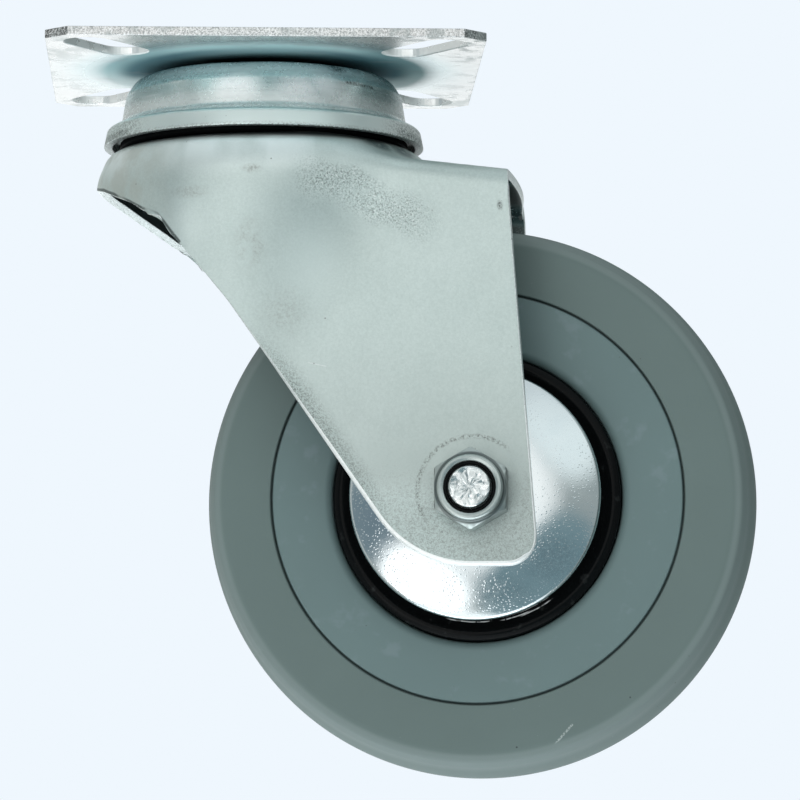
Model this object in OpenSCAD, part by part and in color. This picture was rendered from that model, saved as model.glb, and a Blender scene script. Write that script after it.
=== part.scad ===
// Swivel castor: 125 mm grey rubber tyred wheel in a pressed steel fork, under a slotted top plate.
// Millimetres. Origin: centre of the top plate's upper face, on the swivel axis. +Z up, plate long side along X.

/* [Plate] */
// length of the top plate along X
plate_l = 98.6; // [96:0.2:104]
// width of the top plate along Y
plate_w = 96; // [92:0.5:100]
// sheet thickness of the top plate
plate_t = 2; // [1.9:0.1:2.1]
// size of the corners that are cut off
plate_clip = 5.1; // [3:0.1:6]
// width of the four slanted bolt slots
slot_w = 11; // [9:0.5:11.5]
// overall length of a bolt slot
slot_l = 25; // [18:0.5:26]
// slot centre from the middle of the plate along X
slot_x = 35.8; // [34:0.2:36]
// slot centre from the middle of the plate along Y
slot_y = 33.4; // [30:0.2:34]
// slant of the slots from the X axis, in degrees
slot_turn = 55; // [44:1:58]

/* [Fork] */
// turn of the fork about the swivel axis as pictured, in degrees
swivel_turn = -6.7; // [-20:0.1:20]
// distance of the axle behind the swivel axis
trail = 50.4; // [50:0.1:51]
// depth of the axle below the plate's upper face
axle_drop = 102.4; // [101.5:0.1:103]
// overall width of the fork over its legs
fork_w = 64; // [63.6:0.1:64.4]

/* [Wheel] */
// diameter over the tyre's tread
wheel_d = 125; // [120:0.5:126]
// width of the tyre
tyre_w = 35; // [34:0.5:36]
// diameter of the joint between the core and the tyre
core_d = 93; // [90:0.5:96]
// diameter of the pressed cover discs
guard_d = 56.6; // [55:0.2:58]

/* [Hidden] */
$fn = 96;

sheet = 2;                  // sheet thickness of the housing and the fork
half_w = fork_w / 2;        // outer face of a leg
half_in = half_w - sheet;   // inner face of a leg
clear = 0.05;               // running clearance of the balls
// upper row of balls: pitch radius, height, ball radius, number
ub_r = 26.7;
ub_z = -9.7;
ub_b = 3.175;
ub_n = 24;
// lower row of balls
lb_r = 19.04;
lb_z = -12.43;
lb_b = 2.38;
lb_n = 22;
// wheel bearing balls
wb_r = 11;
wb_b = 2.975;
wb_n = 8;
wb_y = 16;                  // middle of a wheel bearing from the wheel's mid-plane
guard_r = guard_d / 2;
core_r = core_d / 2;
tyre_h = tyre_w / 2;

zinc = [0.74, 0.78, 0.78];
steel = [0.62, 0.64, 0.65];
black = [0.07, 0.07, 0.07];
grey_rubber = [0.42, 0.47, 0.46];
grey_core = [0.42, 0.48, 0.50];

// points of an arc, from angle a0 to angle a1 in n steps
function arc(c, r, a0, a1, n) = [for (i = [0 : n]) c + r * [cos(a0 + (a1 - a0) * i / n), sin(a0 + (a1 - a0) * i / n)]];

// places its children in the turned fork's frame
module in_fork() rotate([0, 0, swivel_turn]) children();
// places its children on the axle, local +Z towards the nut
module on_axle() in_fork() translate([trail, 0, -axle_drop]) rotate([90, 0, 0]) children();

// ---- fixed head ----

module slot_hole() {
    run = (slot_l - slot_w) / 2;
    rotate([0, 0, slot_turn]) {
        translate([-run, -slot_w / 2, -plate_t - 1]) cube([2 * run, slot_w, plate_t + 2]);
        for (s = [-1, 1]) translate([s * run, 0, -plate_t - 1]) cylinder(r = slot_w / 2, h = plate_t + 2);
    }
}

module top_plate() color(zinc) {
    l = plate_l / 2;
    w = plate_w / 2;
    c = plate_clip;
    difference() {
        translate([0, 0, -plate_t]) linear_extrude(plate_t)
            polygon([[-l + c, -w], [l - c, -w], [l, -w + c], [l, w - c], [l - c, w], [-l + c, w], [-l, w - c], [-l, -w + c]]);
        translate([0, 0, -plate_t - 1]) cylinder(r = 12, h = plate_t + 2);
        translate([slot_x, slot_y, 0]) slot_hole();
        translate([-slot_x, -slot_y, 0]) slot_hole();
        translate([-slot_x, slot_y, 0]) mirror([0, 1, 0]) slot_hole();
        translate([slot_x, -slot_y, 0]) mirror([0, 1, 0]) slot_hole();
    }
}

module swivel_housing() color(zinc) rotate_extrude() difference() {
    // outside of the pressing: dome, wall, flare and turned-down skirt
    polygon(concat([[6.05, -plate_t], [16, -plate_t]],
                   arc([24.7, -11.75], 8.1, 80, 0, 8),
                   [[32.8, -13.8], [33.1, -14.7], [33.9, -15.3]],
                   arc([35.65, -17.3], 1.2, 75, 0, 4),
                   [[36.85, -20], [6.05, -20]]));
    // inside
    polygon(concat([[0, -plate_t - 2], [16, -plate_t - 2]],
                   arc([24.7, -11.75], 6.1, 80, 0, 8),
                   [[30.8, -14.4], [31.3, -15.9], [32.6, -17.1]],
                   arc([34.2, -18.2], 0.65, 75, 0, 3),
                   [[34.85, -21], [0, -21]]));
}

module swivel_seal() color(black) rotate_extrude()
    polygon([[31, -18.9], [34.6, -18.9], [34.6, -20.6], [34.3, -20.9], [31.3, -20.9], [31, -20.6]]);

module kingpin() color(steel) {
    translate([0, 0, -plate_t]) cylinder(r = 11.8, h = plate_t - 0.3);
    translate([0, 0, -33]) cylinder(r = 6, h = 33 - plate_t + 0.5);
    translate([0, 0, -34]) cylinder(r1 = 5.2, r2 = 6, h = 1);
}

module lower_race() color(steel) rotate_extrude() difference() {
    polygon([[6.05, -11], [17.2, -11], [17.2, -14.6], [20.4, -14.6], [20.4, -17], [6.05, -17]]);
    translate([lb_r, lb_z]) circle(r = lb_b + clear);
}

module kingpin_washer() color(steel) difference() {
    translate([0, 0, -19]) cylinder(r = 12, h = 2);
    translate([0, 0, -20]) cylinder(r = 6.3, h = 4);
}

module kingpin_nut() color(steel) difference() {
    translate([0, 0, -29.5]) cylinder(r = 18 / sqrt(3), h = 10.5, $fn = 6);
    translate([0, 0, -31]) cylinder(r = 6.02, h = 14);
}

module upper_balls() color(steel)
    for (i = [0 : ub_n - 1]) rotate([0, 0, i * 360 / ub_n]) translate([ub_r, 0, ub_z]) sphere(r = ub_b, $fn = 24);

module lower_balls() color(steel)
    for (i = [0 : lb_n - 1]) rotate([0, 0, i * 360 / lb_n]) translate([lb_r, 0, lb_z]) sphere(r = lb_b, $fn = 24);

// ---- fork ----

// section of the bearing seat pressed up in the middle of the crown
module seat_section() difference() {
    union() {
        translate([6.6, -21.5]) square([29.8 - 6.6, 21.5 - 12.93]);
        translate([6.6, -13.5]) square([18, 5.5]);
    }
    translate([ub_r, ub_z]) circle(r = ub_b + clear);
    translate([0, -24]) square([27.8, 24 - 14.93]);
    translate([0, -24]) square([lb_r, 14]);
    translate([0, -24]) square([lb_r + lb_b + clear, 24 + lb_z]);
    translate([lb_r, lb_z]) circle(r = lb_b + clear);
}

// outline of the fork from the side, x along the trail and y up
corner = 6.5;
heel = 25.4;
sole = -119.1;
shin = [[-5, -58.6], [22.2, -98]];
shin_turn = atan2(shin[0][1] - shin[1][1], shin[1][0] - shin[0][0]);
heel_x = shin[1][0] + (heel - (sole + heel - shin[1][1]) * cos(shin_turn)) / sin(shin_turn);
back = [[58.2, -30.8], [64.6, -112]];
back_turn = atan2(back[1][0] - back[0][0], back[0][1] - back[1][1]);
corner_x = back[1][0] + (back[1][1] - (sole + corner)) * tan(back_turn) - corner / cos(back_turn);
side = concat([[-45, -4], [-45, -26], [-21.2, -40]], [shin[0]],
              arc([heel_x, sole + heel], heel, 180 + 90 - shin_turn, 270, 10),
              arc([corner_x, sole + corner], corner, 270, 360 + back_turn, 8),
              [back[0], [57.4, -20], [57.4, -4]]);

// section of the web and legs seen from behind, for a given half width, corner radius and depth
module arch(h, r, drop) polygon(concat([[-h, -110]], [for (p = arc([-h + r, -r - drop], r, 180, 90, 5)) p],
                                       [for (p = arc([h - r, -r - drop], r, 90, 0, 5)) p], [[h, -110]]));

module web(h, r, drop, top, front) intersection() {
    translate([38, 0, -27]) rotate([0, 6.8, 0]) translate([-70, 0, 0]) rotate([90, 0, 90]) linear_extrude(130) arch(h, r, drop);
    translate([front, -60, -125]) cube([90 - front, 120, 125 + top]);
}

module bowl_outer() rotate_extrude()
    polygon([[27, -21.3], [34.4, -21.3], [35.4, -21.7], [36, -22.6], [36.9, -24.7], [37.9, -27.2], [38.4, -29.6],
             [38.3, -31.6], [37.2, -35.2], [34.9, -39.8], [31, -45], [0, -45], [0, -23], [27, -23]]);

module bowl_inner() rotate_extrude()
    polygon([[0, -23.3], [33.4, -23.3], [34.1, -23.6], [34.95, -25.3], [35.9, -27.7], [36.4, -29.8], [36.3, -31.3],
             [35.3, -34.6], [33.1, -39], [29, -44.4], [29, -47], [0, -47]]);

module fork() color(zinc) in_fork() {
    difference() {
        union() {
            intersection() {
                union() {
                    bowl_outer();
                    web(half_w, 4.5, 0, -24, 12);
                    web(half_w, 4.5, 0, -30, -21.2);
                }
                rotate([90, 0, 0]) translate([0, 0, -50]) linear_extrude(100) polygon(side);
            }
        }
        bowl_inner();
        web(half_in, 2.5, sheet, -26, -20);
        translate([0, 0, -40]) cylinder(r = 28.5, h = 30);
        translate([trail, -50, -axle_drop]) rotate([-90, 0, 0]) cylinder(r = 5.25, h = 100);
    }
    rotate_extrude() seat_section();
}

// ---- axle ----

module axle_bolt() color(steel) on_axle() {
    translate([0, 0, -half_w - 6.4]) cylinder(r = 16 / sqrt(3), h = 6.4, $fn = 6);
    translate([0, 0, -half_w - 1]) cylinder(r = 5, h = 2 * half_w + 11.4);
    translate([0, 0, half_w + 10.4]) cylinder(r1 = 5, r2 = 4.6, h = 0.6);
}

module axle_nut() color(steel) on_axle() difference() {
    union() {
        intersection() {
            translate([0, 0, half_w]) rotate([0, 0, 30]) cylinder(r = 16 / sqrt(3), h = 8, $fn = 6);
            translate([0, 0, half_w - 1]) cylinder(r1 = 16.6, r2 = 7.6, h = 9);
        }
        translate([0, 0, half_w + 7]) cylinder(r1 = 7.6, r2 = 7.25, h = 3);
    }
    translate([0, 0, half_w - 1]) cylinder(r = 5.02, h = 12);
    translate([0, 0, half_w + 7.5]) cylinder(r = 5.72, h = 4);
}

module nut_insert() color(black) on_axle() difference() {
    translate([0, 0, half_w + 7.5]) cylinder(r = 5.72, h = 2.4);
    translate([0, 0, half_w + 6]) cylinder(r = 5.02, h = 6);
}

// a plain tube on the axle: inner radius, outer radius, from, to
module tube(r_in, r_out, z0, z1) difference() {
    translate([0, 0, z0]) cylinder(r = r_out, h = z1 - z0);
    translate([0, 0, z0 - 1]) cylinder(r = r_in, h = z1 - z0 + 2);
}

module axle_sleeve() color(steel) on_axle() tube(5.15, 6, -half_in + 1.2, half_in - 1.2);

module bearing_spacer() color(steel) on_axle() tube(6.02, 7.5, -wb_y + 5, wb_y - 5);

module axle_spacer_near() color(steel) on_axle() tube(6.02, 8.5, wb_y + 5, half_in - 1.2);

module axle_spacer_far() color(steel) on_axle() mirror([0, 0, 1]) tube(6.02, 8.5, wb_y + 5, half_in - 1.2);

// pressed cover disc: flat where it is clamped, then domed, with a turned-in rim
function dome(r, base) = base - pow(max(0, r - 9), 2) / 60 * 0.85;
module guard() rotate_extrude()
    polygon(concat([for (r = [5.15, 9, 12, 15, 18, 21, 24]) [r, dome(r, half_in)]],
                   arc([guard_r - 2.4, dome(26, half_in) - 2.1], 2.4, 62, 0, 5),
                   [[guard_r, dome(26, half_in) - 4], [guard_r - 1.2, dome(26, half_in) - 4]],
                   arc([guard_r - 2.4, dome(26, half_in) - 2.1], 1.2, 0, 62, 3),
                   [for (r = [24, 21, 18, 15, 12, 9, 5.15]) [r, dome(r, half_in) - 1.2]]));

module thread_guard_near() color(zinc) on_axle() guard();
module thread_guard_far() color(zinc) on_axle() mirror([0, 0, 1]) guard();

// ---- wheel ----

module bearing_ring(r0, r1) difference() {
    tube(r0, r1, wb_y - 5, wb_y + 5);
    translate([0, 0, wb_y]) rotate_extrude() translate([wb_r, 0]) circle(r = wb_b + clear, $fn = 48);
}

module bearing_inner_near() color(steel) on_axle() bearing_ring(6.02, 9);
module bearing_inner_far() color(steel) on_axle() mirror([0, 0, 1]) bearing_ring(6.02, 9);
module bearing_outer_near() color(steel) on_axle() bearing_ring(13, 16);
module bearing_outer_far() color(steel) on_axle() mirror([0, 0, 1]) bearing_ring(13, 16);

module bearing_row() for (i = [0 : wb_n - 1]) rotate([0, 0, i * 360 / wb_n]) translate([wb_r, 0, wb_y]) sphere(r = wb_b, $fn = 24);
module bearing_balls_near() color(steel) on_axle() bearing_row();
module bearing_balls_far() color(steel) on_axle() mirror([0, 0, 1]) bearing_row();

module seal_ring() rotate_extrude()
    polygon(concat([[21, 12.7], [21, 15]], [[22.5, 17.2]], arc([30.9, 16.6], 1.6, 90, 0, 5), [[32.5, 12.7]]));
module dust_seal_near() color(black) on_axle() seal_ring();
module dust_seal_far() color(black) on_axle() mirror([0, 0, 1]) seal_ring();

// one half of a section, given as points from the mid-plane outwards and back, made whole across the mid-plane
function both(half) = concat([for (i = [0 : len(half) - 1]) half[i]],
                             [for (i = [len(half) - 1 : -1 : 0]) if (half[i][1] > 0) [half[i][0], -half[i][1]]]);

module wheel_core() color(grey_core) on_axle() rotate_extrude()
    // bearing seats, hub, web, then the rim that the tyre is bonded to, with a rounded edge at the recess
    polygon(both(concat([[13.5, 0], [13.5, 11], [16, 11], [16, 22], [20.5, 22], [20.5, 12.7], [32.5, 12.7]],
                        arc([34.6, tyre_h - 2.3], 2, 165, 90, 5),
                        [[core_r - 0.5, tyre_h - 0.3], [core_r, tyre_h - 0.8], [core_r, 0]])));

// tread radius at a distance from the mid-plane
function tread(y) = wheel_d / 2 - y * y / 85;
shoulder = 3;
module tyre() color(grey_rubber) on_axle() rotate_extrude()
    polygon(both(concat([[core_r, 0], [core_r, tyre_h - 0.8], [core_r + 0.5, tyre_h - 0.1]],
                        arc([tread(tyre_h - 2) - shoulder, tyre_h - shoulder], shoulder, 90, 14, 7),
                        [for (y = [12, 9, 6, 3, 0]) [tread(y), y]])));

top_plate();
swivel_housing();
swivel_seal();
kingpin();
kingpin_washer();
kingpin_nut();
lower_race();
upper_balls();
lower_balls();
fork();
axle_bolt();
axle_nut();
nut_insert();
axle_sleeve();
bearing_spacer();
axle_spacer_near();
axle_spacer_far();
thread_guard_near();
thread_guard_far();
bearing_inner_near();
bearing_inner_far();
bearing_outer_near();
bearing_outer_far();
bearing_balls_near();
bearing_balls_far();
dust_seal_near();
dust_seal_far();
wheel_core();
tyre();
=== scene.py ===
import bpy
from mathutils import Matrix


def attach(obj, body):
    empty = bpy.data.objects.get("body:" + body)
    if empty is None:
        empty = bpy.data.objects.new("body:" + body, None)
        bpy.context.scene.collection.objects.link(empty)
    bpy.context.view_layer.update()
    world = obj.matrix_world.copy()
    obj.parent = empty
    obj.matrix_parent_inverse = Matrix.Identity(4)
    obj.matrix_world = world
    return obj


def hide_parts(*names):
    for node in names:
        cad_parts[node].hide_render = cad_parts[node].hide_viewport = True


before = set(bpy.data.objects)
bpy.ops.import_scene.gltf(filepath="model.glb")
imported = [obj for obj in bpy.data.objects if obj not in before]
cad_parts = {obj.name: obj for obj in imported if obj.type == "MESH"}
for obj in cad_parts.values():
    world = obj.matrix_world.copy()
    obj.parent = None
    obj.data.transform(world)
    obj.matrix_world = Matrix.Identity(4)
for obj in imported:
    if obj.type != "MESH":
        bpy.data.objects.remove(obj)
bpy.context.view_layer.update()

import math

import bpy
import numpy as np
from mathutils import Matrix

MM = 0.001
TURN = math.radians(6.7)      # the fork is turned by this about the swivel axis, clockwise from above
TRAIL, DROP = 50.4, 102.4     # the axle, in the turned fork's frame
HALF, SHEET = 32.0, 2.0       # outer face of a leg, and its sheet

FORK = Matrix.Rotation(-TURN, 4, "Z")
AXLE = FORK @ Matrix.Translation((TRAIL * MM, 0, -DROP * MM)) @ Matrix.Rotation(math.radians(90), 4, "X")
FLIP = Matrix.Rotation(math.radians(180), 4, "X")      # the far side of the wheel, seen from the far side
HEAD = Matrix.Identity(4)


# ---------------------------------------------------------------- mesh helpers

def mesh_object(name, verts, faces, matrix, sharp=35.0, weld=None, mats=None):
    """A piece from points in millimetres, smooth except where its faces meet at more than sharp degrees."""
    me = bpy.data.meshes.new(name)
    me.from_pydata([tuple(float(c) * MM for c in v) for v in verts], [], [tuple(int(i) for i in f) for f in faces])
    me.update()
    if mats is not None:
        for _ in range(max(mats) + 1):
            me.materials.append(None)
        me.polygons.foreach_set("material_index", mats)
    if weld:
        import bmesh
        bm = bmesh.new()
        bm.from_mesh(me)
        bmesh.ops.remove_doubles(bm, verts=bm.verts, dist=weld * MM)
        bmesh.ops.recalc_face_normals(bm, faces=bm.faces)
        bm.to_mesh(me)
        bm.free()
    me.polygons.foreach_set("use_smooth", [True] * len(me.polygons))
    me.set_sharp_from_angle(angle=math.radians(sharp))
    ob = bpy.data.objects.new(name, me)
    bpy.context.scene.collection.objects.link(ob)
    ob.matrix_world = matrix
    return ob


def fillet(points, step=9.0):
    """A closed outline from corners (x, y) or (x, y, radius), each given its radius."""
    out = []
    n = len(points)
    for i in range(n):
        p = np.array(points[i][:2], float)
        r = points[i][2] if len(points[i]) > 2 else 0.0
        if r <= 0:
            out.append(tuple(p))
            continue
        a = np.array(points[i - 1][:2], float) - p
        b = np.array(points[(i + 1) % n][:2], float) - p
        la, lb = np.linalg.norm(a), np.linalg.norm(b)
        a, b = a / la, b / lb
        half = math.acos(max(-1.0, min(1.0, float(a @ b)))) / 2
        if half > math.radians(89.5):
            out.append(tuple(p))
            continue
        t = min(r / math.tan(half), 0.49 * la, 0.49 * lb)
        r = t * math.tan(half)
        c = p + (a + b) / np.linalg.norm(a + b) * (r / math.sin(half))
        u, v = p + a * t - c, p + b * t - c
        a0, a1 = math.atan2(u[1], u[0]), math.atan2(v[1], v[0])
        d = (a1 - a0 + math.pi) % (2 * math.pi) - math.pi
        k = max(2, int(abs(math.degrees(d)) / step) + 1)
        out += [(c[0] + r * math.cos(a0 + d * j / k), c[1] + r * math.sin(a0 + d * j / k)) for j in range(k + 1)]
    return out


def lathe(outline, n=192):
    """Points and faces of a closed outline (r, z) turned about Z. No point lies on the axis."""
    m = len(outline)
    o = np.array(outline, float)
    ang = np.arange(n) * 2 * math.pi / n
    verts = np.stack([np.outer(np.cos(ang), o[:, 0]), np.outer(np.sin(ang), o[:, 0]), np.tile(o[:, 1], (n, 1))], -1).reshape(-1, 3)
    faces = []
    turned = sum(o[i][0] * o[(i + 1) % m][1] - o[(i + 1) % m][0] * o[i][1] for i in range(m)) > 0
    for i in range(n):
        j = (i + 1) % n
        for k in range(m):
            l = (k + 1) % m
            f = (i * m + k, j * m + k, j * m + l, i * m + l)
            faces.append(f if turned else f[::-1])
    return verts, faces


def rings(list_of_rings, close_start=True, close_end=True):
    """Points and faces through rings of the same number of points, with a fan over each end."""
    n = len(list_of_rings[0])
    verts = [p for ring in list_of_rings for p in ring]
    faces = []
    for k in range(len(list_of_rings) - 1):
        for i in range(n):
            j = (i + 1) % n
            faces.append((k * n + i, k * n + j, (k + 1) * n + j, (k + 1) * n + i))
    if close_start:
        verts.append(tuple(np.mean(np.array(list_of_rings[0], float), 0)))
        faces += [(len(verts) - 1, (i + 1) % n, i) for i in range(n)]
    if close_end:
        verts.append(tuple(np.mean(np.array(list_of_rings[-1], float), 0)))
        b = (len(list_of_rings) - 1) * n
        faces += [(len(verts) - 1, b + i, b + (i + 1) % n) for i in range(n)]
    return verts, faces


def join(*parts):
    verts, faces = [], []
    for v, f in parts:
        b = len(verts)
        verts += [tuple(p) for p in v]
        faces += [tuple(int(i) + b for i in q) for q in f]
    return verts, faces


# ---------------------------------------------------------------- materials

class Nodes:
    """A material's nodes, with small helpers that return sockets."""

    def __init__(self, name):
        self.m = bpy.data.materials.new(name)
        self.m.use_nodes = True
        self.t = self.m.node_tree
        self.t.nodes.clear()
        self.out = self.t.nodes.new("ShaderNodeOutputMaterial")
        self.b = self.t.nodes.new("ShaderNodeBsdfPrincipled")
        self.t.links.new(self.b.outputs[0], self.out.inputs[0])
        tc = self.t.nodes.new("ShaderNodeTexCoord")
        self.obj = tc.outputs["Object"]
        sep = self.t.nodes.new("ShaderNodeSeparateXYZ")
        scale = self.t.nodes.new("ShaderNodeVectorMath")
        scale.operation = "SCALE"
        scale.inputs["Scale"].default_value = 1000.0
        self.t.links.new(self.obj, scale.inputs[0])
        self.p = scale.outputs[0]                   # object coordinates in millimetres
        self.t.links.new(self.p, sep.inputs[0])
        self.x, self.y, self.z = sep.outputs

    def _in(self, socket, v):
        if isinstance(v, bpy.types.NodeSocket):
            self.t.links.new(v, socket)
        else:
            socket.default_value = v

    def math(self, op, a, b=None, c=None, clamp=False):
        n = self.t.nodes.new("ShaderNodeMath")
        n.operation = op
        n.use_clamp = clamp
        for s, v in zip(n.inputs, (a, b, c)):
            if v is not None:
                self._in(s, v)
        return n.outputs[0]

    def add(self, a, b): return self.math("ADD", a, b)
    def sub(self, a, b): return self.math("SUBTRACT", a, b)
    def mul(self, a, b): return self.math("MULTIPLY", a, b)
    def lo(self, a, b): return self.math("MINIMUM", a, b)
    def hi(self, a, b): return self.math("MAXIMUM", a, b)

    def span(self, v, a, b, c=0.0, d=1.0):
        """v from a..b mapped smoothly to c..d."""
        n = self.t.nodes.new("ShaderNodeMapRange")
        n.interpolation_type = "SMOOTHSTEP"
        self._in(n.inputs["Value"], v)
        for k, val in zip(("From Min", "From Max", "To Min", "To Max"), (a, b, c, d)):
            n.inputs[k].default_value = val
        return n.outputs[0]

    def noise(self, scale, detail=2.0, rough=0.5, vec=None, dim="3D", distort=0.0, kind="FBM"):
        """Noise of about 1/scale millimetres a feature, 0 to 1."""
        n = self.t.nodes.new("ShaderNodeTexNoise")
        n.noise_dimensions = dim
        n.noise_type = kind
        self._in(n.inputs["W" if dim == "1D" else "Vector"], self.p if vec is None else vec)
        n.inputs["Scale"].default_value = scale
        n.inputs["Detail"].default_value = detail
        n.inputs["Roughness"].default_value = rough
        n.inputs["Distortion"].default_value = distort
        return n.outputs[0]

    def cells(self, scale, vec=None, feature="F1", out="Distance", rnd=1.0):
        n = self.t.nodes.new("ShaderNodeTexVoronoi")
        n.feature = feature
        self._in(n.inputs["Vector"], self.p if vec is None else vec)
        n.inputs["Scale"].default_value = scale
        n.inputs["Randomness"].default_value = rnd
        return n.outputs[out]

    def stretched(self, sx, sy, sz, vec=None):
        n = self.t.nodes.new("ShaderNodeVectorMath")
        n.operation = "MULTIPLY"
        self._in(n.inputs[0], self.p if vec is None else vec)
        n.inputs[1].default_value = (sx, sy, sz)
        return n.outputs[0]

    def near(self, x, y, z, rx, ry, rz, soft=0.6):
        """1 inside an ellipsoid about a point, fading to 0 at its surface."""
        q = self.t.nodes.new("ShaderNodeVectorMath")
        q.operation = "SUBTRACT"
        self._in(q.inputs[0], self.p)
        q.inputs[1].default_value = (x, y, z)
        s = self.t.nodes.new("ShaderNodeVectorMath")
        s.operation = "DIVIDE"
        self._in(s.inputs[0], q.outputs[0])
        s.inputs[1].default_value = (rx, ry, rz)
        l = self.t.nodes.new("ShaderNodeVectorMath")
        l.operation = "LENGTH"
        self._in(l.inputs[0], s.outputs[0])
        return self.span(l.outputs["Value"], 1.0, 1.0 - soft)

    def line(self, a, b, width, vec=None):
        """1 along the straight line between two points, fading to 0 at width from it."""
        a, b = np.array(a, float), np.array(b, float)
        d = b - a
        ln = float(np.linalg.norm(d))
        d = d / ln
        q = self.t.nodes.new("ShaderNodeVectorMath"); q.operation = "SUBTRACT"
        self._in(q.inputs[0], self.p if vec is None else vec); q.inputs[1].default_value = tuple(a)
        dt = self.t.nodes.new("ShaderNodeVectorMath"); dt.operation = "DOT_PRODUCT"
        self._in(dt.inputs[0], q.outputs[0]); dt.inputs[1].default_value = tuple(d)
        along = self.lo(self.hi(dt.outputs["Value"], 0.0), ln)
        v = self.t.nodes.new("ShaderNodeVectorMath"); v.operation = "SCALE"
        v.inputs[0].default_value = tuple(d); self._in(v.inputs["Scale"], along)
        w = self.t.nodes.new("ShaderNodeVectorMath"); w.operation = "SUBTRACT"
        self._in(w.inputs[0], q.outputs[0]); self._in(w.inputs[1], v.outputs[0])
        l = self.t.nodes.new("ShaderNodeVectorMath"); l.operation = "LENGTH"
        self._in(l.inputs[0], w.outputs[0])
        return self.span(l.outputs["Value"], width, width * 0.3)

    def mix(self, f, a, b):
        n = self.t.nodes.new("ShaderNodeMix")
        n.data_type = "RGBA"
        n.clamp_factor = True
        self._in(n.inputs["Factor"], f)
        self._in(n.inputs[6], a if isinstance(a, bpy.types.NodeSocket) else (*a, 1))
        self._in(n.inputs[7], b if isinstance(b, bpy.types.NodeSocket) else (*b, 1))
        return n.outputs[2]

    def blendf(self, f, a, b):
        n = self.t.nodes.new("ShaderNodeMix")
        n.data_type = "FLOAT"
        n.clamp_factor = True
        self._in(n.inputs["Factor"], f)
        self._in(n.inputs[2], a)
        self._in(n.inputs[3], b)
        return n.outputs[0]

    def bump(self, height, strength, distance_mm, normal=None):
        n = self.t.nodes.new("ShaderNodeBump")
        n.inputs["Strength"].default_value = strength
        n.inputs["Distance"].default_value = distance_mm * MM
        self._in(n.inputs["Height"], height)
        if normal is not None:
            self._in(n.inputs["Normal"], normal)
        return n.outputs[0]

    def radius(self):
        """Distance from the object's own Z axis, in millimetres."""
        return self.math("SQRT", self.add(self.mul(self.x, self.x), self.mul(self.y, self.y)))

    def done(self, color, rough, metallic=0.0, normal=None, coat=0.0, specular=None, coat_rough=0.1):
        self._in(self.b.inputs["Base Color"], color)
        self._in(self.b.inputs["Roughness"], rough)
        self._in(self.b.inputs["Metallic"], metallic)
        if normal is not None:
            self._in(self.b.inputs["Normal"], normal)
        if coat:
            self.b.inputs["Coat Weight"].default_value = coat
            self.b.inputs["Coat Roughness"].default_value = coat_rough
        if specular is not None:
            self._in(self.b.inputs["Specular IOR Level"], specular)
        return self.m


def zinc(name, light=(0.645, 0.735, 0.715), dark=(0.55, 0.64, 0.62), rough=0.46, grain=1.0, marks=None, metallic=1.0, bump=1.0, fine_scale=2.6):
    """Satin zinc plate over pressed steel: soft clouds of tone, a fine grain, and whatever marks the piece has."""
    n = Nodes(name)
    clouds = n.noise(0.045, 4.0, 0.55)
    patch = n.noise(0.35, 3.0, 0.6)
    fine = n.noise(fine_scale, 3.0, 0.75)
    tone = n.add(n.mul(n.sub(clouds, 0.5), 1.5), n.add(n.mul(n.sub(patch, 0.5), 0.5), 0.5))
    tone = n.add(tone, n.mul(n.sub(fine, 0.5), 0.9 * grain))
    color = n.mix(tone, dark, light)
    r = n.add(rough, n.mul(n.sub(patch, 0.5), 0.16))
    height = n.add(n.mul(fine, 0.6), n.mul(patch, 0.5))
    specular = None
    if marks:
        color, r, height, *more = marks(n, color, r, height)
        metallic = more[0] if more else metallic
        specular = more[1] if more[1:] else None
    normal = n.bump(height, 0.35 * bump, 0.12)
    return n.done(color, r, metallic, normal, specular=specular)


def paint(ob, *materials):
    if len(materials) > 1:
        for i, m in enumerate(materials):
            ob.data.materials[i] = m
        return
    ob.data.materials.clear()
    ob.data.materials.append(materials[0])


# ---------------------------------------------------------------- fork skin

Z_KNOTS = np.array([-84, -72, -62, -53, -46, -40, -35.2, -31.6, -29.3, -27.2, -24.7, -21.8, -17.0])
R_KNOTS = np.array([22.0, 27.0, 30.6, 33.4, 35.4, 36.9, 37.9, 38.3, 38.35, 37.9, 36.9, 35.6, 33.0])
SLOPE = math.tan(math.radians(6.8))


def smooth_table(xs, ys, n=1200):
    """A smooth curve through points, as a fine table."""
    d = np.gradient(ys, xs)
    q = np.linspace(xs[0], xs[-1], n)
    i = np.clip(np.searchsorted(xs, q) - 1, 0, len(xs) - 2)
    h = xs[i + 1] - xs[i]
    t = (q - xs[i]) / h
    v = ((2 * t**3 - 3 * t**2 + 1) * ys[i] + (t**3 - 2 * t**2 + t) * h * d[i]
         + (-2 * t**3 + 3 * t**2) * ys[i + 1] + (t**3 - t**2) * h * d[i + 1])
    return q, v


BOWL_Z, BOWL_R = smooth_table(Z_KNOTS, R_KNOTS)


def round_max(a, b, r):
    u, v = np.maximum(a + r, 0), np.maximum(b + r, 0)
    return np.minimum(-r, np.maximum(a, b)) + np.sqrt(u * u + v * v)


def soft_min(a, b, k):
    h = np.clip(0.5 + 0.5 * (b - a) / k, 0, 1)
    return b * (1 - h) + a * h - k * h * (1 - h)


def shell(p):
    """Below zero inside the fork's outer form: a barrel-shaped crown run softly into a box-shaped web and legs."""
    x, y, z = p[..., 0], p[..., 1], p[..., 2]
    rho = np.sqrt(x * x + y * y)
    bowl = round_max(rho - np.interp(z, BOWL_Z, BOWL_R), z + 21.3, 2.6)
    top = (z + 27 + (x - 38) * SLOPE) * math.cos(math.radians(6.8))
    top = np.maximum(top, z + 24.0 + np.clip((12 - x) * 0.16, 0, None))
    legs = round_max(np.sqrt(y * y + 0.01) - HALF, top, 4.5)
    legs = round_max(legs, (-20.0 - x) * 0.95, 7.0)
    return soft_min(bowl, legs, 8.0)


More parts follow.
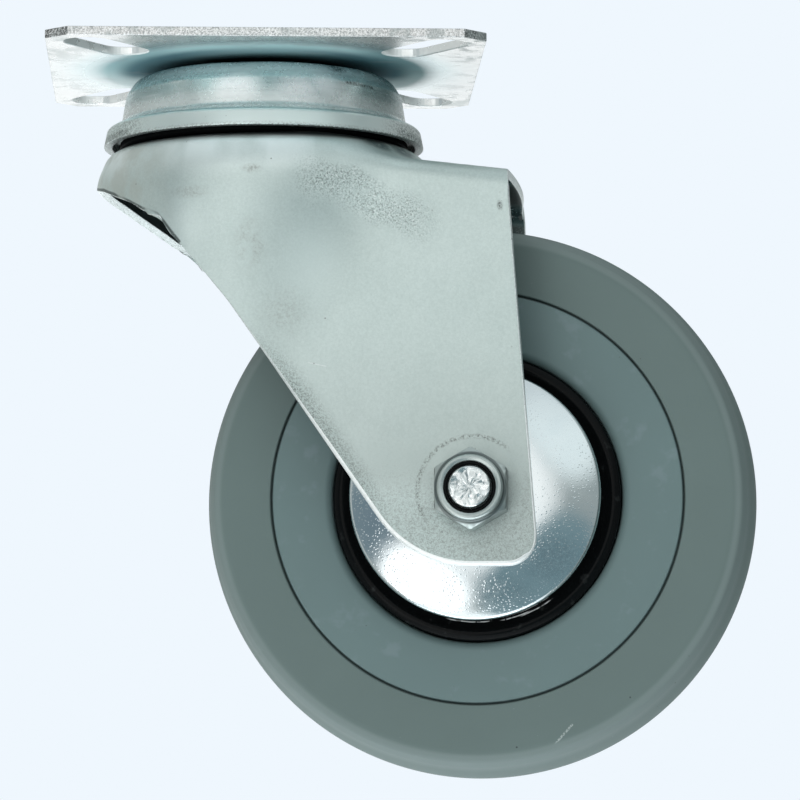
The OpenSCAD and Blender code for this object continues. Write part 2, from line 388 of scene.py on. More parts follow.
def shell_normal(p):
    h = 0.05
    g = np.stack([shell(p + d) - shell(p - d) for d in np.eye(3) * h], -1)
    return g / np.linalg.norm(g, axis=-1, keepdims=True)


HEART = np.array([8.0, 0.0, -50.0])


def onto_shell(d):
    """Where rays from inside the fork, in directions d, leave its outer form."""
    d = d / np.linalg.norm(d, axis=-1, keepdims=True)
    lo, hi = np.full(d.shape[:-1], 5.0), np.full(d.shape[:-1], 130.0)
    for _ in range(44):
        mid = (lo + hi) / 2
        inside = shell(HEART + d * mid[..., None]) < 0
        lo, hi = np.where(inside, mid, lo), np.where(inside, hi, mid)
    return HEART + d * lo[..., None]


def side_point(x, z):
    """The point of the near side with that x and z."""
    lo, hi = np.zeros_like(x), np.full_like(x, 60.0)
    for _ in range(44):
        mid = (lo + hi) / 2
        inside = shell(np.stack([x, -mid, z], -1)) < 0
        lo, hi = np.where(inside, mid, lo), np.where(inside, hi, mid)
    return np.stack([x, -lo, z], -1)


def along(points, n_or_s):
    """Points spread along a path, at n even steps or at given fractions of its length."""
    p = np.array(points, float)
    s = np.concatenate([[0], np.cumsum(np.linalg.norm(np.diff(p, axis=0), axis=1))])
    s = s / s[-1]
    q = np.linspace(0, 1, n_or_s) if isinstance(n_or_s, int) else np.asarray(n_or_s)
    return np.stack([np.interp(q, s, p[:, k]) for k in range(p.shape[1])], -1)


def arc2(c, r, a0, a1, n):
    return [(c[0] + r * math.cos(math.radians(a0 + (a1 - a0) * i / n)), c[1] + r * math.sin(math.radians(a0 + (a1 - a0) * i / n))) for i in range(n + 1)]


def fork_sheet():
    """The pressed sheet of the fork, as a grid from the crown's middle out to the cut edge, on both sides."""
    heel, sole, corner = 25.4, -119.1, 6.5
    turn = math.degrees(math.atan2(39.4, 27.2))
    heel_x = 22.2 + (heel - (sole + heel + 98.0) * math.cos(math.radians(turn))) / math.sin(math.radians(turn))
    back = math.degrees(math.atan2(6.4, 81.2))
    corner_x = 64.6 + (-112.0 - (sole + corner)) * math.tan(math.radians(back)) - corner / math.cos(math.radians(back))
    # the skirt's cut edge round the front, by angle from the front and height: wavy where the press folded it
    skirt_a = np.radians(np.array([0, 7, 14, 24, 31, 38, 44, 50, 54, 58.5]))
    skirt_z = np.array([-29.6, -29.9, -30.6, -31.8, -33.2, -34.9, -36.6, -38.6, -39.3, -40.4])
    aa = np.linspace(0, skirt_a[-1], 60)
    zz = np.interp(aa, *smooth_table(skirt_a, skirt_z, 400))
    skirt = np.stack([-38.3 * np.cos(aa), -38.3 * np.sin(aa), zz], -1)
    leg = [(-18.2, -42.9), (-14.2, -47.6), (-10.2, -52.4), (-4.6, -59.2), (3.0, -70.0), (12.6, -84.0), (22.2, -98.0)]
    leg = fillet([(-60, 0), *[(a, b, 30) for a, b in leg[1:-1]], leg[-1]])[1:]
    leg = [leg_p for leg_p in ([(-18.2, -42.9)] + leg)]
    foot = arc2((heel_x, sole + heel), heel, 270 - turn, 270, 16)
    toe = arc2((corner_x, sole + corner), corner, 270, 315, 5)
    low = np.array(leg + foot + toe)
    low = along(low, 240)
    low3 = side_point(low[:, 0], low[:, 1])
    bottom = np.concatenate([skirt, low3])
    # fractions of the lower edge and of the crown's rim and web that belong together
    length = np.concatenate([[0], np.cumsum(np.linalg.norm(np.diff(bottom, axis=0), axis=1))])
    fr = lambda pt: float(length[np.argmin(np.linalg.norm(bottom - np.array(pt), axis=1))] / length[-1])
    b_knots = [0, fr(skirt[-1]), fr(side_point(np.array([22.2]), np.array([-98.0]))[0]), fr((heel_x, -HALF, sole)), 1]
    rim = np.linspace(math.pi, 2 * math.pi, 200)
    top = np.concatenate([np.stack([28.5 * np.cos(rim), 28.5 * np.sin(rim), np.full(200, -21.3)], -1),
                          np.stack([np.linspace(28.5, 59.5, 80)[1:], np.zeros(79), np.linspace(-24.0, -29.57, 80)[1:]], -1)])
    a_knots = [0, 0.23, 0.495, 0.735, 1]
    NT, NS = 176, 104
    t = np.linspace(0, 1, NT)
    t_knots = [0, 0.20, 0.56, 0.80, 1]
    sa = np.interp(t, *smooth_table(np.array(t_knots), np.array(a_knots), 300))
    sb = np.interp(t, *smooth_table(np.array(t_knots), np.array(b_knots), 300))
    A, B = along(top, sa), along(bottom, sb)
    L = along(np.array([(-28.5, 0, -21.3), (-36, 0, -21.6), (-38.4, 0, -27), (-38.3, 0, -29.6)]), NS)
    yy = np.linspace(0, 27.5, 60)
    rear = np.stack([59.5 - 1.64 * (yy / 26.6) ** 2, -yy, -29.6 - 0 * yy], -1)
    turn_down = np.array([(58.0, -27.5 - 4.5 * math.sin(q), -29.6 - 4.5 * (1 - math.cos(q))) for q in np.linspace(0.1, math.pi / 2, 12)])
    turn_down[:, 0] = 57.9 + np.linspace(0, 0.62, 12)
    edge = np.array([(58.62 + (k * (112 - 36.0)) * 6.4 / 81.2, -HALF, -36.0 - k * (112 - 36.0)) for k in np.linspace(0, 1, 60)])
    end = np.array([(p[0], -HALF, p[1]) for p in arc2((corner_x, sole + corner), corner, 360 + back, 315, 6)])
    R = along(np.concatenate([rear, turn_down, edge, end]), NS)
    R[-1], L[-1], R[0], L[0] = B[-1], B[0], A[-1], A[0]

    def chart(p):
        d = p - HEART
        d = d / np.linalg.norm(d, axis=-1, keepdims=True)
        ang = np.arccos(np.clip(-d[..., 1], -1, 1))
        q = np.stack([d[..., 0], d[..., 2]], -1)
        return q / np.maximum(np.linalg.norm(q, axis=-1, keepdims=True), 1e-9) * ang[..., None]

    def unchart(c):
        ang = np.linalg.norm(c, axis=-1)
        q = c / np.maximum(ang, 1e-9)[..., None]
        return np.stack([q[..., 0] * np.sin(ang), -np.cos(ang), q[..., 1] * np.sin(ang)], -1)

    a, b, l, r = chart(A), chart(B), chart(L), chart(R)
    s = np.linspace(0, 1, NS)[:, None, None]
    u = t[None, :, None]
    grid = ((1 - s) * a[None] + s * b[None] + (1 - u) * l[:, None] + u * r[:, None]
            - (1 - s) * (1 - u) * a[0] - (1 - s) * u * a[-1] - s * (1 - u) * b[0] - s * u * b[-1])
    for _ in range(400):
        grid[1:-1, 1:-1] = (grid[:-2, 1:-1] + grid[2:, 1:-1] + grid[1:-1, :-2] + grid[1:-1, 2:]) / 4
    # rows closer together near the crown's shoulder
    q = np.linspace(0, 1, NS) ** 1.25 * (NS - 1)
    i = np.clip(q.astype(int), 0, NS - 2)
    f = (q - i)[:, None, None]
    grid = grid[i] * (1 - f) + grid[i + 1] * f
    P = onto_shell(unchart(grid))
    # at the concave corner of the rear end the even grid runs past the cut edge: there its rows are drawn again, up to the edge
    edge_d = along(P[:, -1], 500)
    for i in range(1, NS - 1):
        q = P[i, -60:]
        k = np.argmin(((q[:, None, 1:] - edge_d[None, :, 1:]) ** 2).sum(-1), axis=1)
        bad = np.nonzero(q[:-1, 0] > edge_d[k, 0][:-1] - 0.10 * np.arange(59, 0, -1))[0]
        if len(bad):
            j = max(NT - 60 + int(bad[0]) - 6, 2)
            c0, c1 = grid[i, j], grid[i, -1]
            grid[i, j:] = c0 + (c1 - c0) * np.linspace(0, 1, NT - j)[:, None]
    P = onto_shell(unchart(grid))
    P[:, 0, 1] = 0.0
    return P, NT, NS


# how far the near side's skirt edge stands above the far side's, by angle from the front: the press folded it up in two waves
LIFT_A = np.radians(np.array([0, 20, 27, 34, 41, 47, 54, 57, 60, 62, 64, 68]))
LIFT_Z = np.array([0, -0.15, 0, 0.16, 0.64, 0.73, 0.48, 0.6, 0.95, 0.5, -0.1, 0])


def near_edge(P):
    """The near side's points, with the skirt's edge lifted."""
    seg = np.linalg.norm(np.diff(P, axis=0), axis=-1)
    back = np.concatenate([np.cumsum(seg[::-1], axis=0)[::-1], np.zeros((1, P.shape[1]))])
    e = P[-1]
    lift = np.interp(np.arctan2(-e[:, 1], -e[:, 0]), LIFT_A, LIFT_Z, right=0.0) * (e[:, 0] < -8)
    up = lift[None] * np.exp(-(back / 4.5) ** 2)
    Q = onto_shell(P + np.stack([0 * up, 0 * up, up], -1) - HEART)
    # the second wave curls outwards
    a = np.degrees(np.arctan2(-Q[..., 1], -Q[..., 0]))
    curl = 0.55 * np.exp(-((a - 55.0) / 4.0) ** 2) * np.exp(-(back / 1.8) ** 2) * (Q[..., 0] < -8)
    curl += 0.30 * np.exp(-((a - 39.0) / 3.5) ** 2) * np.exp(-(back / 1.6) ** 2) * (Q[..., 0] < -8)
    n = shell_normal(Q)
    Q = Q + n * curl[..., None]
    Q[:, 0] = P[:, 0]
    return Q


def fork_skin():
    far, NT, NS = fork_sheet()
    near = near_edge(far)
    verts, faces, mats = [], [], []
    for side in (1, -1):
        P = near if side > 0 else far
        N = shell_normal(P)
        N[:, 0, 1] = 0
        N /= np.linalg.norm(N, axis=-1, keepdims=True)
        m = np.array([1, side, 1.0])
        O, Nn = P * m, N * m
        # direction out of the sheet at its free edges: the last row and the last column
        out_s = O[-1] - O[-2]
        out_t = O[:, -1] - O[:, -2]

        def flat(v, n, tangent):
            v = v - n * (v * n).sum(-1, keepdims=True)
            tangent = tangent / np.maximum(np.linalg.norm(tangent, axis=-1, keepdims=True), 1e-9)
            v = v - tangent * (v * tangent).sum(-1, keepdims=True)
            return v / np.maximum(np.linalg.norm(v, axis=-1, keepdims=True), 1e-9)

        ms = flat(out_s, Nn[-1], np.gradient(O[-1], axis=0))
        mt = flat(out_t, Nn[:, -1], np.gradient(O[:, -1], axis=0))
        corner = ms[-1] + mt[-1]
        ms[-1] = mt[-1] = corner / np.linalg.norm(corner)
        edge_p = np.concatenate([O[-1], O[:-1, -1][::-1]])
        edge_n = np.concatenate([Nn[-1], Nn[:-1, -1][::-1]])
        edge_m = np.concatenate([ms, mt[:-1][::-1]])
        # how far the outer edge is rounded over: most along the leg's foot
        soft = np.interp(edge_p[:, 2], [-119, -112, -60, -38, -30], [1.05, 1.0, 0.6, 0.35, 0.25])
        soft[len(O[-1]):] = np.minimum(soft[len(O[-1]):], 0.4)
        grid_o = O.copy()
        grid_o[-1] = O[-1] - ms * soft[:NT, None]
        grid_o[:-1, -1] = (O[:-1, -1] - mt[:-1] * soft[NT:][::-1][:, None])
        inner = O - Nn * SHEET
        # the skirt was trimmed at a slant, so its inner edge stands back from its outer one
        seg = np.linalg.norm(np.diff(O, axis=0), axis=-1)
        back = np.concatenate([np.cumsum(seg[::-1], axis=0)[::-1], np.zeros((1, NT))])
        slant = 0.6 * np.clip((-15.5 - O[-1, :, 0]) / 4.0, 0, 1) * np.clip((O[-1, :, 2] + 46.0) / 5.0, 0, 1)
        for c in np.nonzero(slant > 0.01)[0]:
            d = back[:, c]
            goal = d + slant[c] * np.clip(1 - d / 9.0, 0, 1)
            inner[:, c] = np.stack([np.interp(goal, d[::-1], inner[::-1, c, k]) for k in range(3)], -1)
        hard = 0.15
        inner[-1] -= ms * hard
        inner[:-1, -1] -= mt[:-1] * hard
        base = len(verts)
        verts += [tuple(v) for v in grid_o.reshape(-1, 3)]
        base_i = len(verts)
        verts += [tuple(v) for v in inner.reshape(-1, 3)]
        idx = np.arange(NS * NT).reshape(NS, NT)

        def quad(a, b, c, d, flip):
            faces.append((a, b, c, d) if not flip else (d, c, b, a))

        flip = side < 0
        for r in range(NS - 1):
            for c in range(NT - 1):
                quad(base + idx[r, c], base + idx[r + 1, c], base + idx[r + 1, c + 1], base + idx[r, c + 1], flip)
                quad(base_i + idx[r, c], base_i + idx[r, c + 1], base_i + idx[r + 1, c + 1], base_i + idx[r + 1, c], flip)
                mats += [0, 2]
        # cut edge: rounded over outside, nearly square inside
        loop_o = np.concatenate([base + idx[-1], (base + idx[:-1, -1])[::-1]])
        loop_i = np.concatenate([base_i + idx[-1], (base_i + idx[:-1, -1])[::-1]])
        rows = [loop_o]
        for ang in (22, 45, 68, 90):
            q = math.radians(ang)
            pts = edge_p + (-edge_m - edge_n + edge_m * math.sin(q) + edge_n * math.cos(q)) * soft[:, None]
            rows.append(np.arange(len(verts), len(verts) + len(pts)))
            verts += [tuple(v) for v in pts]
        in_edge = np.concatenate([inner[-1], inner[:-1, -1][::-1]]) + edge_m * hard
        for f1, f2 in ((0.0, 1.0), (0.3, 0.3)):
            pts = in_edge + edge_n * hard * f2 - edge_m * hard * f1
            rows.append(np.arange(len(verts), len(verts) + len(pts)))
            verts += [tuple(v) for v in pts]
        rows.append(loop_i)
        for a, b in zip(rows[:-1], rows[1:]):
            for k in range(len(a) - 1):
                quad(a[k], b[k], b[k + 1], a[k + 1], flip)
                mats.append(1)
        # rim of the hole in the crown
        n_rim = int(np.argmax(O[0, :, 0] > 28.45))
        for k in range(n_rim):
            quad(base + idx[0, k], base + idx[0, k + 1], base_i + idx[0, k + 1], base_i + idx[0, k], flip)
            mats.append(0)
    return verts, faces, mats


def seat_ring():
    """The bearing seat that stands up in the middle of the crown."""
    track = arc2((26.7, -9.7), 3.225, 270, 212, 8)
    low = arc2((19.04, -12.43), 2.43, 90, 0, 8)
    return lathe([(27.8, -23.2), (29.8, -23.2), (29.8, -12.93), *track, (23.96, -8.0), (6.6, -8.0), (6.6, -10.0), *low,
                  (21.47, -14.93), (27.8, -14.93)], 128)


# ---------------------------------------------------------------- marks on the materials

FOLD = [(-38.3, -2.5, -29.3), (-37.2, -9.3, -30.2), (-35.0, -15.6, -31.3), (-32.0, -20.8, -33.0), (-28.9, -24.5, -34.6), (-26.6, -26.9, -36.2), (-24.2, -29.1, -37.6),
        (-22.2, -30.6, -38.2), (-20.3, -31.9, -39.2), (-18.9, -32.8, -41.2), (-17.6, -33.2, -43.0), (-15.4, -33.9, -45.9)]

def fork_marks(n, color, rough, height):
    near_side = n.span(n.y, -24.0, -30.0)
    speck = n.noise(1.5, 3.0, 0.75)
    speck2 = n.noise(3.2, 2.0, 0.8)
    # painted highlight: a bluish sheen round the top of the crown
    crown = n.mul(n.span(n.z, -33.0, -24.0), n.span(n.x, 34.0, 4.0))
    streak = n.span(n.noise(0.09, 2.0, 0.5, n.stretched(1.6, 1.0, 0.5)), 0.32, 0.62, 0.45, 1.0)
    color = n.mix(n.mul(n.mul(crown, streak), 0.9), color, (0.93, 1.0, 1.0))
    # coarse sparkling patch that runs down from the crown's rear shoulder: dark grit in the zinc, with painted sparkle
    # as its bright specks
    u = n.add(n.mul(n.sub(n.x, 26.0), 0.914), n.mul(n.add(n.z, 36.0), -0.406))
    v = n.add(n.mul(n.sub(n.x, 26.0), 0.406), n.mul(n.add(n.z, 36.0), 0.914))
    v = n.add(v, n.mul(n.sub(n.noise(0.11, 3.0, 0.6), 0.5), 9.0))
    patch = n.mul(n.mul(n.span(u, -19.0, -8.0), n.span(u, 21.0, 8.0)), n.mul(n.span(v, -6.5, -1.0), n.span(v, 6.0, 1.0)))
    patch = n.mul(patch, n.span(n.noise(0.3, 3.0, 0.6), 0.18, 0.46))
    coarse = n.noise(2.5, 2.0, 0.8)
    grit = n.span(coarse, 0.53, 0.63)
    color = n.mix(n.mul(n.mul(patch, grit), 0.76), color, (0.16, 0.19, 0.18))
    painted_sparkle = n.span(coarse, 0.47, 0.37)
    color = n.mix(n.mul(n.mul(patch, painted_sparkle), 0.72), color, (0.97, 0.99, 0.98))
    # painted highlight: paler where the crown's bulge runs into the leg
    pale = n.hi(n.mul(n.near(14.0, -32.0, -50.0, 11.0, 8.0, 15.0, 0.9), 0.5), n.hi(n.mul(n.near(26.0, -32.0, -36.0, 14.0, 8.0, 8.0, 0.9), 0.3), n.mul(n.near(-15.0, -33.0, -42.0, 9.0, 9.0, 9.0, 0.9), 0.3)))
    color = n.mix(n.mul(pale, near_side), color, (0.84, 0.94, 0.915))
    # painted shade: dark mottled patches on the near side of the crown and leg
    speck_mask = n.span(speck, 0.42, 0.68)
    fine_dust = n.span(speck2, 0.46, 0.60)
    painted_hollow_shade = n.mul(n.near(0.6, -32.0, -46.5, 5.5, 9, 9.5, 0.95), n.span(n.noise(0.3, 3.0, 0.7), 0.36, 0.6))
    painted_hollow_shade = n.hi(painted_hollow_shade, n.mul(n.near(1.5, -36.0, -30.2, 3.2, 6, 1.5, 0.8), 1.0))
    painted_hollow_shade = n.hi(painted_hollow_shade, n.mul(n.near(-12.0, -34.0, -35.0, 7.0, 6, 2.2, 0.9), 0.75))
    painted_hollow_shade = n.hi(painted_hollow_shade, n.mul(n.near(8.0, -32.0, -62.0, 9.0, 6, 9.0, 0.9), 0.35))
    color = n.mix(n.mul(n.mul(painted_hollow_shade, speck_mask), 0.72), color, (0.20, 0.215, 0.20))
    color = n.mix(n.mul(painted_hollow_shade, 0.26), color, (0.42, 0.44, 0.41))
    # dark speckle along the leg's front edge and round its foot
    along_front = n.sub(n.mul(n.add(n.x, 5.0), 0.823), n.mul(n.add(n.z, 58.6), -0.568))
    front = n.mul(n.span(along_front, 6.0, 0.5), n.span(n.z, -62.0, -80.0))
    front = n.mul(front, n.span(n.z, -116.0, -98.0, 0.3, 1.0))
    foot = n.mul(n.span(n.z, -90.0, -116.0), 0.46)
    front = n.hi(front, foot)
    color = n.mix(n.mul(n.mul(n.mul(front, fine_dust), near_side), 0.85), color, (0.19, 0.21, 0.20))
    color = n.mix(n.mul(n.mul(n.mul(n.span(n.z, -88.0, -112.0), n.span(n.noise(1.7, 4.0, 0.85), 0.53, 0.575)), near_side), 0.44), color, (0.17, 0.19, 0.18))
    # painted shade: the leg darker lower down, and at the foot mostly towards the rear
    lower = n.mul(n.span(n.z, -58.0, -98.0, 0.0, 0.25), n.hi(n.span(n.z, -105.0, -98.0), n.span(n.x, 44.0, 58.0, 0.1, 1.0)))
    color = n.mix(lower, color, (0.31, 0.335, 0.32))
    # a worn arc where a washer has turned round the nut
    dx, dz = n.sub(n.x, TRAIL), n.add(n.z, DROP)
    r = n.math("SQRT", n.add(n.mul(dx, dx), n.mul(dz, dz)))
    ring = n.mul(n.span(r, 11.5, 12.1), n.span(r, 13.0, 12.5))
    upper = n.span(n.sub(dz, n.mul(dx, 0.9)), -1.0, 7.0)
    right = n.mul(n.span(n.sub(n.mul(dx, 1.0), dz), 4.0, 11.0), 0.3)
    arc = n.mul(n.mul(ring, n.hi(upper, right)), n.span(speck, 0.44, 0.60))
    color = n.mix(n.mul(n.mul(arc, near_side), 0.72), color, (0.17, 0.18, 0.17))
    # painted shadow on the web beside the swivel head, mottled
    web_shadow = n.hi(n.near(28.5, -23.5, -22.7, 9.0, 5.5, 3.0, 0.8), n.near(34.0, -17.0, -23.6, 6.5, 8.0, 3.0, 0.8))
    color = n.mix(n.mul(n.mul(web_shadow, n.span(n.noise(0.5, 3.0, 0.6), 0.25, 0.5)), 0.85), color, (0.07, 0.11, 0.12))
    # a dull brown cast on the front of the crown
    cast = n.mul(n.span(n.x, -12.0, -30.0), n.span(n.noise(0.14, 3.0, 0.6), 0.36, 0.62))
    color = n.mix(n.mul(cast, 0.5), color, (0.56, 0.585, 0.54))
    # painted shade: a dark line in the fold along the near skirt's edge
    fold = None
    for a, b in zip(FOLD[:-1], FOLD[1:]):
        l = n.line(a, b, 0.55)
        fold = l if fold is None else n.hi(fold, l)
    color = n.mix(n.mul(n.mul(fold, n.span(speck, 0.25, 0.45)), 0.85), color, (0.06, 0.08, 0.08))
    # fine bright scratch
    scratch = n.line((13.6, -32.2, -73.3), (17.6, -32.2, -74.2), 0.28)
    color = n.mix(n.mul(scratch, n.span(speck2, 0.35, 0.5)), color, (0.95, 0.96, 0.97))
    # painted shadow: the crown's top, under the housing's skirt, nearly black
    color = n.mix(n.mul(n.span(n.z, -22.6, -21.5), 0.9), color, (0.02, 0.028, 0.032))
    # pinholes and small dark specks
    pins = n.mul(n.span(n.cells(0.22), 0.055, 0.02), n.span(n.noise(0.12, 1.0), 0.5, 0.62))
    color = n.mix(n.mul(pins, 0.7), color, (0.16, 0.17, 0.17))
    spot = n.near(56.6, -32.0, -38.2, 0.9, 2, 1.6, 0.8)
    color = n.mix(n.mul(spot, n.span(speck2, 0.35, 0.6)), color, (0.12, 0.13, 0.13))
    rough = n.add(rough, n.mul(n.hi(patch, front), 0.12))
    height = n.add(height, n.mul(n.mul(patch, grit), 1.6))
    return color, rough, height


def inside_marks(n, color, rough, height):
    """The sheet's inner face: dull and oily, painted dark as shade, darkest up under the web; a painted teal reflection
    and painted glints where it bends under the web, shinier there.
    """
    speck = n.noise(2.4, 3.0, 0.8)
    # painted shade: darkest up under the web
    legs = n.span(n.z, -46.0, -62.0)
    color = n.mix(legs, (0.115, 0.145, 0.145), color)
    # painted reflection: teal where the sheet bends under the web
    rear = n.mul(n.span(n.x, 40.0, 46.0), n.span(n.z, -34.6, -32.6))
    bend = n.mul(rear, n.span(n.math("ABSOLUTE", n.y), 12.0, 20.0))
    color = n.mix(n.mul(bend, 0.85), color, (0.30, 0.44, 0.45))
    # painted glints on the bend
    glint = n.hi(n.near(55.4, 28.6, -32.0, 1.2, 1.6, 0.5, 0.7), n.near(57.6, 28.8, -32.2, 0.8, 1.6, 0.9, 0.7))
    color = n.mix(n.mul(glint, 0.95), color, (1.0, 1.0, 1.0))
    low = n.mul(n.mul(n.span(n.x, 40.0, 46.0), n.span(n.z, -33.2, -34.4)), n.span(speck, 0.50, 0.62))
    color = n.mix(n.mul(low, 0.45), color, (0.40, 0.47, 0.46))
    rough = n.add(rough, n.mul(bend, -0.16))
    return color, rough, height


def cut_marks(n, color, rough, height):
    """Sheared steel: coarse bright and dark grain, and a painted highlight lower down the leg."""
    grain = n.noise(1.7, 3.0, 0.8)
    color = n.mix(n.mul(n.span(grain, 0.50, 0.38), 0.45), color, (0.42, 0.46, 0.45))
    color = n.mix(n.mul(n.span(n.cells(1.1), 0.16, 0.08), 0.8), color, (0.10, 0.12, 0.12))
    # painted highlight: the cut edge near white lower down, where it catches light from below
    low = n.span(n.z, -70.0, -96.0)
    color = n.mix(n.mul(low, 0.75), color, (0.98, 1.0, 0.99))
    return color, rough, n.add(height, n.mul(n.mul(grain, n.span(low, 0.0, 1.0, 1.0, 0.3)), 1.5)), n.mul(n.span(n.x, -16.0, -8.0, 0.25, 0.7), n.span(low, 0.0, 1.0, 1.0, 0.55))


def housing_marks(n, color, rough, height):
    speck = n.noise(2.2, 3.0, 0.75)
    # painted highlight: the dome's upper part lighter, most in the middle
    top = n.span(n.z, -10.0, -4.8)
    color = n.mix(n.mul(n.mul(top, n.span(n.math("ABSOLUTE", n.x), 28.0, 12.0)), 0.85), color, (0.93, 1.0, 1.0))
    # painted contact shadow: nearly black along the top of the dome, against the plate
    color = n.mix(n.span(n.z, -2.9, -2.5, 0.0, 0.95), color, (0.01, 0.016, 0.018))
    # painted shade at both ends of the dome and the wall
    ends = n.hi(n.span(n.x, -15.0, -30.5, 0.0, 0.5), n.span(n.x, 21.0, 31.0, 0.0, 0.88))
    color = n.mix(n.mul(ends, n.span(n.z, -15.6, -14.6)), color, (0.13, 0.19, 0.20))
    # the pressing's polished wall is darker than its dull flare
    wall = n.mul(n.span(n.z, -15.2, -13.6), n.span(n.z, -3.5, -6.5))
    color = n.mix(n.mul(wall, 0.12), color, (0.40, 0.48, 0.49))
    # burnished patches on the wall, painted white as highlights
    a = n.near(-6.5, -31.0, -10.5, 8.0, 6, 6.5, 0.8)
    b = n.hi(n.near(8.0, -31.0, -11.5, 9.0, 6, 7.0, 0.85), n.near(13.5, -29.0, -9.5, 9.0, 8, 7.5, 1.0))
    color = n.mix(n.mul(n.hi(a, b), n.span(speck, 0.30, 0.52, 0.75, 1.0)), color, (1.0, 1.0, 1.0))
    corner = n.mul(n.span(n.z, -9.5, -13.2), n.span(n.z, -16.2, -15.2))
    color = n.mix(n.mul(corner, 0.7), color, (0.80, 0.825, 0.815))
    # the turned-down skirt is a lighter, duller band
    band = n.span(n.z, -15.6, -16.6)
    color = n.mix(n.mul(band, 0.7), color, (0.80, 0.88, 0.86))
    # painted highlight: the band lighter still towards the right
    color = n.mix(n.mul(band, n.span(n.x, 22.0, 34.0, 0.0, 0.8)), color, (1.0, 1.0, 0.98))
    tips = n.mul(band, n.span(n.math("ABSOLUTE", n.x), 25.0, 32.0))
    color = n.mix(n.mul(n.mul(tips, n.span(speck, 0.47, 0.58)), 0.6), color, (0.14, 0.16, 0.16))
    color = n.mix(n.mul(n.mul(tips, n.span(speck, 0.43, 0.34)), 0.6), color, (1.0, 1.0, 1.0))
    rough = n.add(rough, n.mul(band, 0.14))
    # draw lines round the wall
    lines = n.noise(1.4, 2.0, 0.6, n.stretched(0.05, 0.05, 1.0))
    color = n.mix(n.mul(n.mul(wall, n.span(lines, 0.54, 0.66)), 0.35), color, (0.80, 0.86, 0.86))
    color = n.mix(n.mul(n.mul(wall, n.span(lines, 0.44, 0.34)), 0.16), color, (0.25, 0.30, 0.31))
    # rubbed line and scratch
    s1 = n.line((18.6, -25.9, -8.4), (24.3, -20.5, -8.9), 0.6)
    color = n.mix(n.mul(s1, n.span(speck, 0.40, 0.56)), color, (0.10, 0.12, 0.12))
    chip = n.near(16.0, -24.6, -5.2, 3.2, 3, 1.3, 0.6)
    color = n.mix(n.mul(chip, n.span(speck, 0.42, 0.55)), color, (0.14, 0.17, 0.17))
    # painted shade in the dent
    dent = n.near(-6.2, -27.3, -4.3, 5.0, 3, 0.5, 0.7)
    color = n.mix(n.mul(dent, n.span(speck, 0.42, 0.60)), color, (0.16, 0.20, 0.21))
    # the skirt's underside: painted shade, with coarse dark and light specks
    under = n.hi(n.mul(n.span(n.z, -17.0, -17.7), n.span(n.radius(), 36.25, 35.7)), n.mul(n.span(n.z, -17.6, -18.8), n.span(n.math("ABSOLUTE", n.x), 29.0, 33.5)))
    color = n.mix(n.mul(under, 0.5), color, (0.34, 0.39, 0.38))
    color = n.mix(n.mul(n.mul(under, n.span(speck, 0.47, 0.56)), 0.85), color, (0.05, 0.06, 0.06))
    color = n.mix(n.mul(n.mul(under, n.span(speck, 0.43, 0.34)), 0.8), color, (0.85, 0.90, 0.88))
    # speckled cut edge at the foot of the flare, inside as well
    foot = n.span(n.z, -19.75, -19.9)
    color = n.mix(n.mul(foot, n.span(speck, 0.46, 0.60)), color, (0.14, 0.15, 0.15))
    color = n.mix(n.mul(n.mul(n.span(n.z, -18.9, -19.6), n.span(speck, 0.44, 0.58)), 0.4), color, (0.42, 0.42, 0.41))
    pins = n.mul(n.span(n.cells(0.35), 0.07, 0.03), n.span(n.noise(0.2, 1.0), 0.5, 0.6))
    color = n.mix(n.mul(pins, 0.75), color, (0.12, 0.14, 0.14))
    height = n.add(height, n.mul(n.mul(n.hi(a, b), speck), 0.7))
    dull = n.hi(n.mul(band, n.span(n.x, 14.0, 30.0)), n.hi(n.mul(top, 0.6), n.hi(n.mul(n.hi(a, b), 0.7), n.mul(corner, 0.55))))
    return color, rough, height, n.span(dull, 0.0, 1.0, 0.85, 0.35)


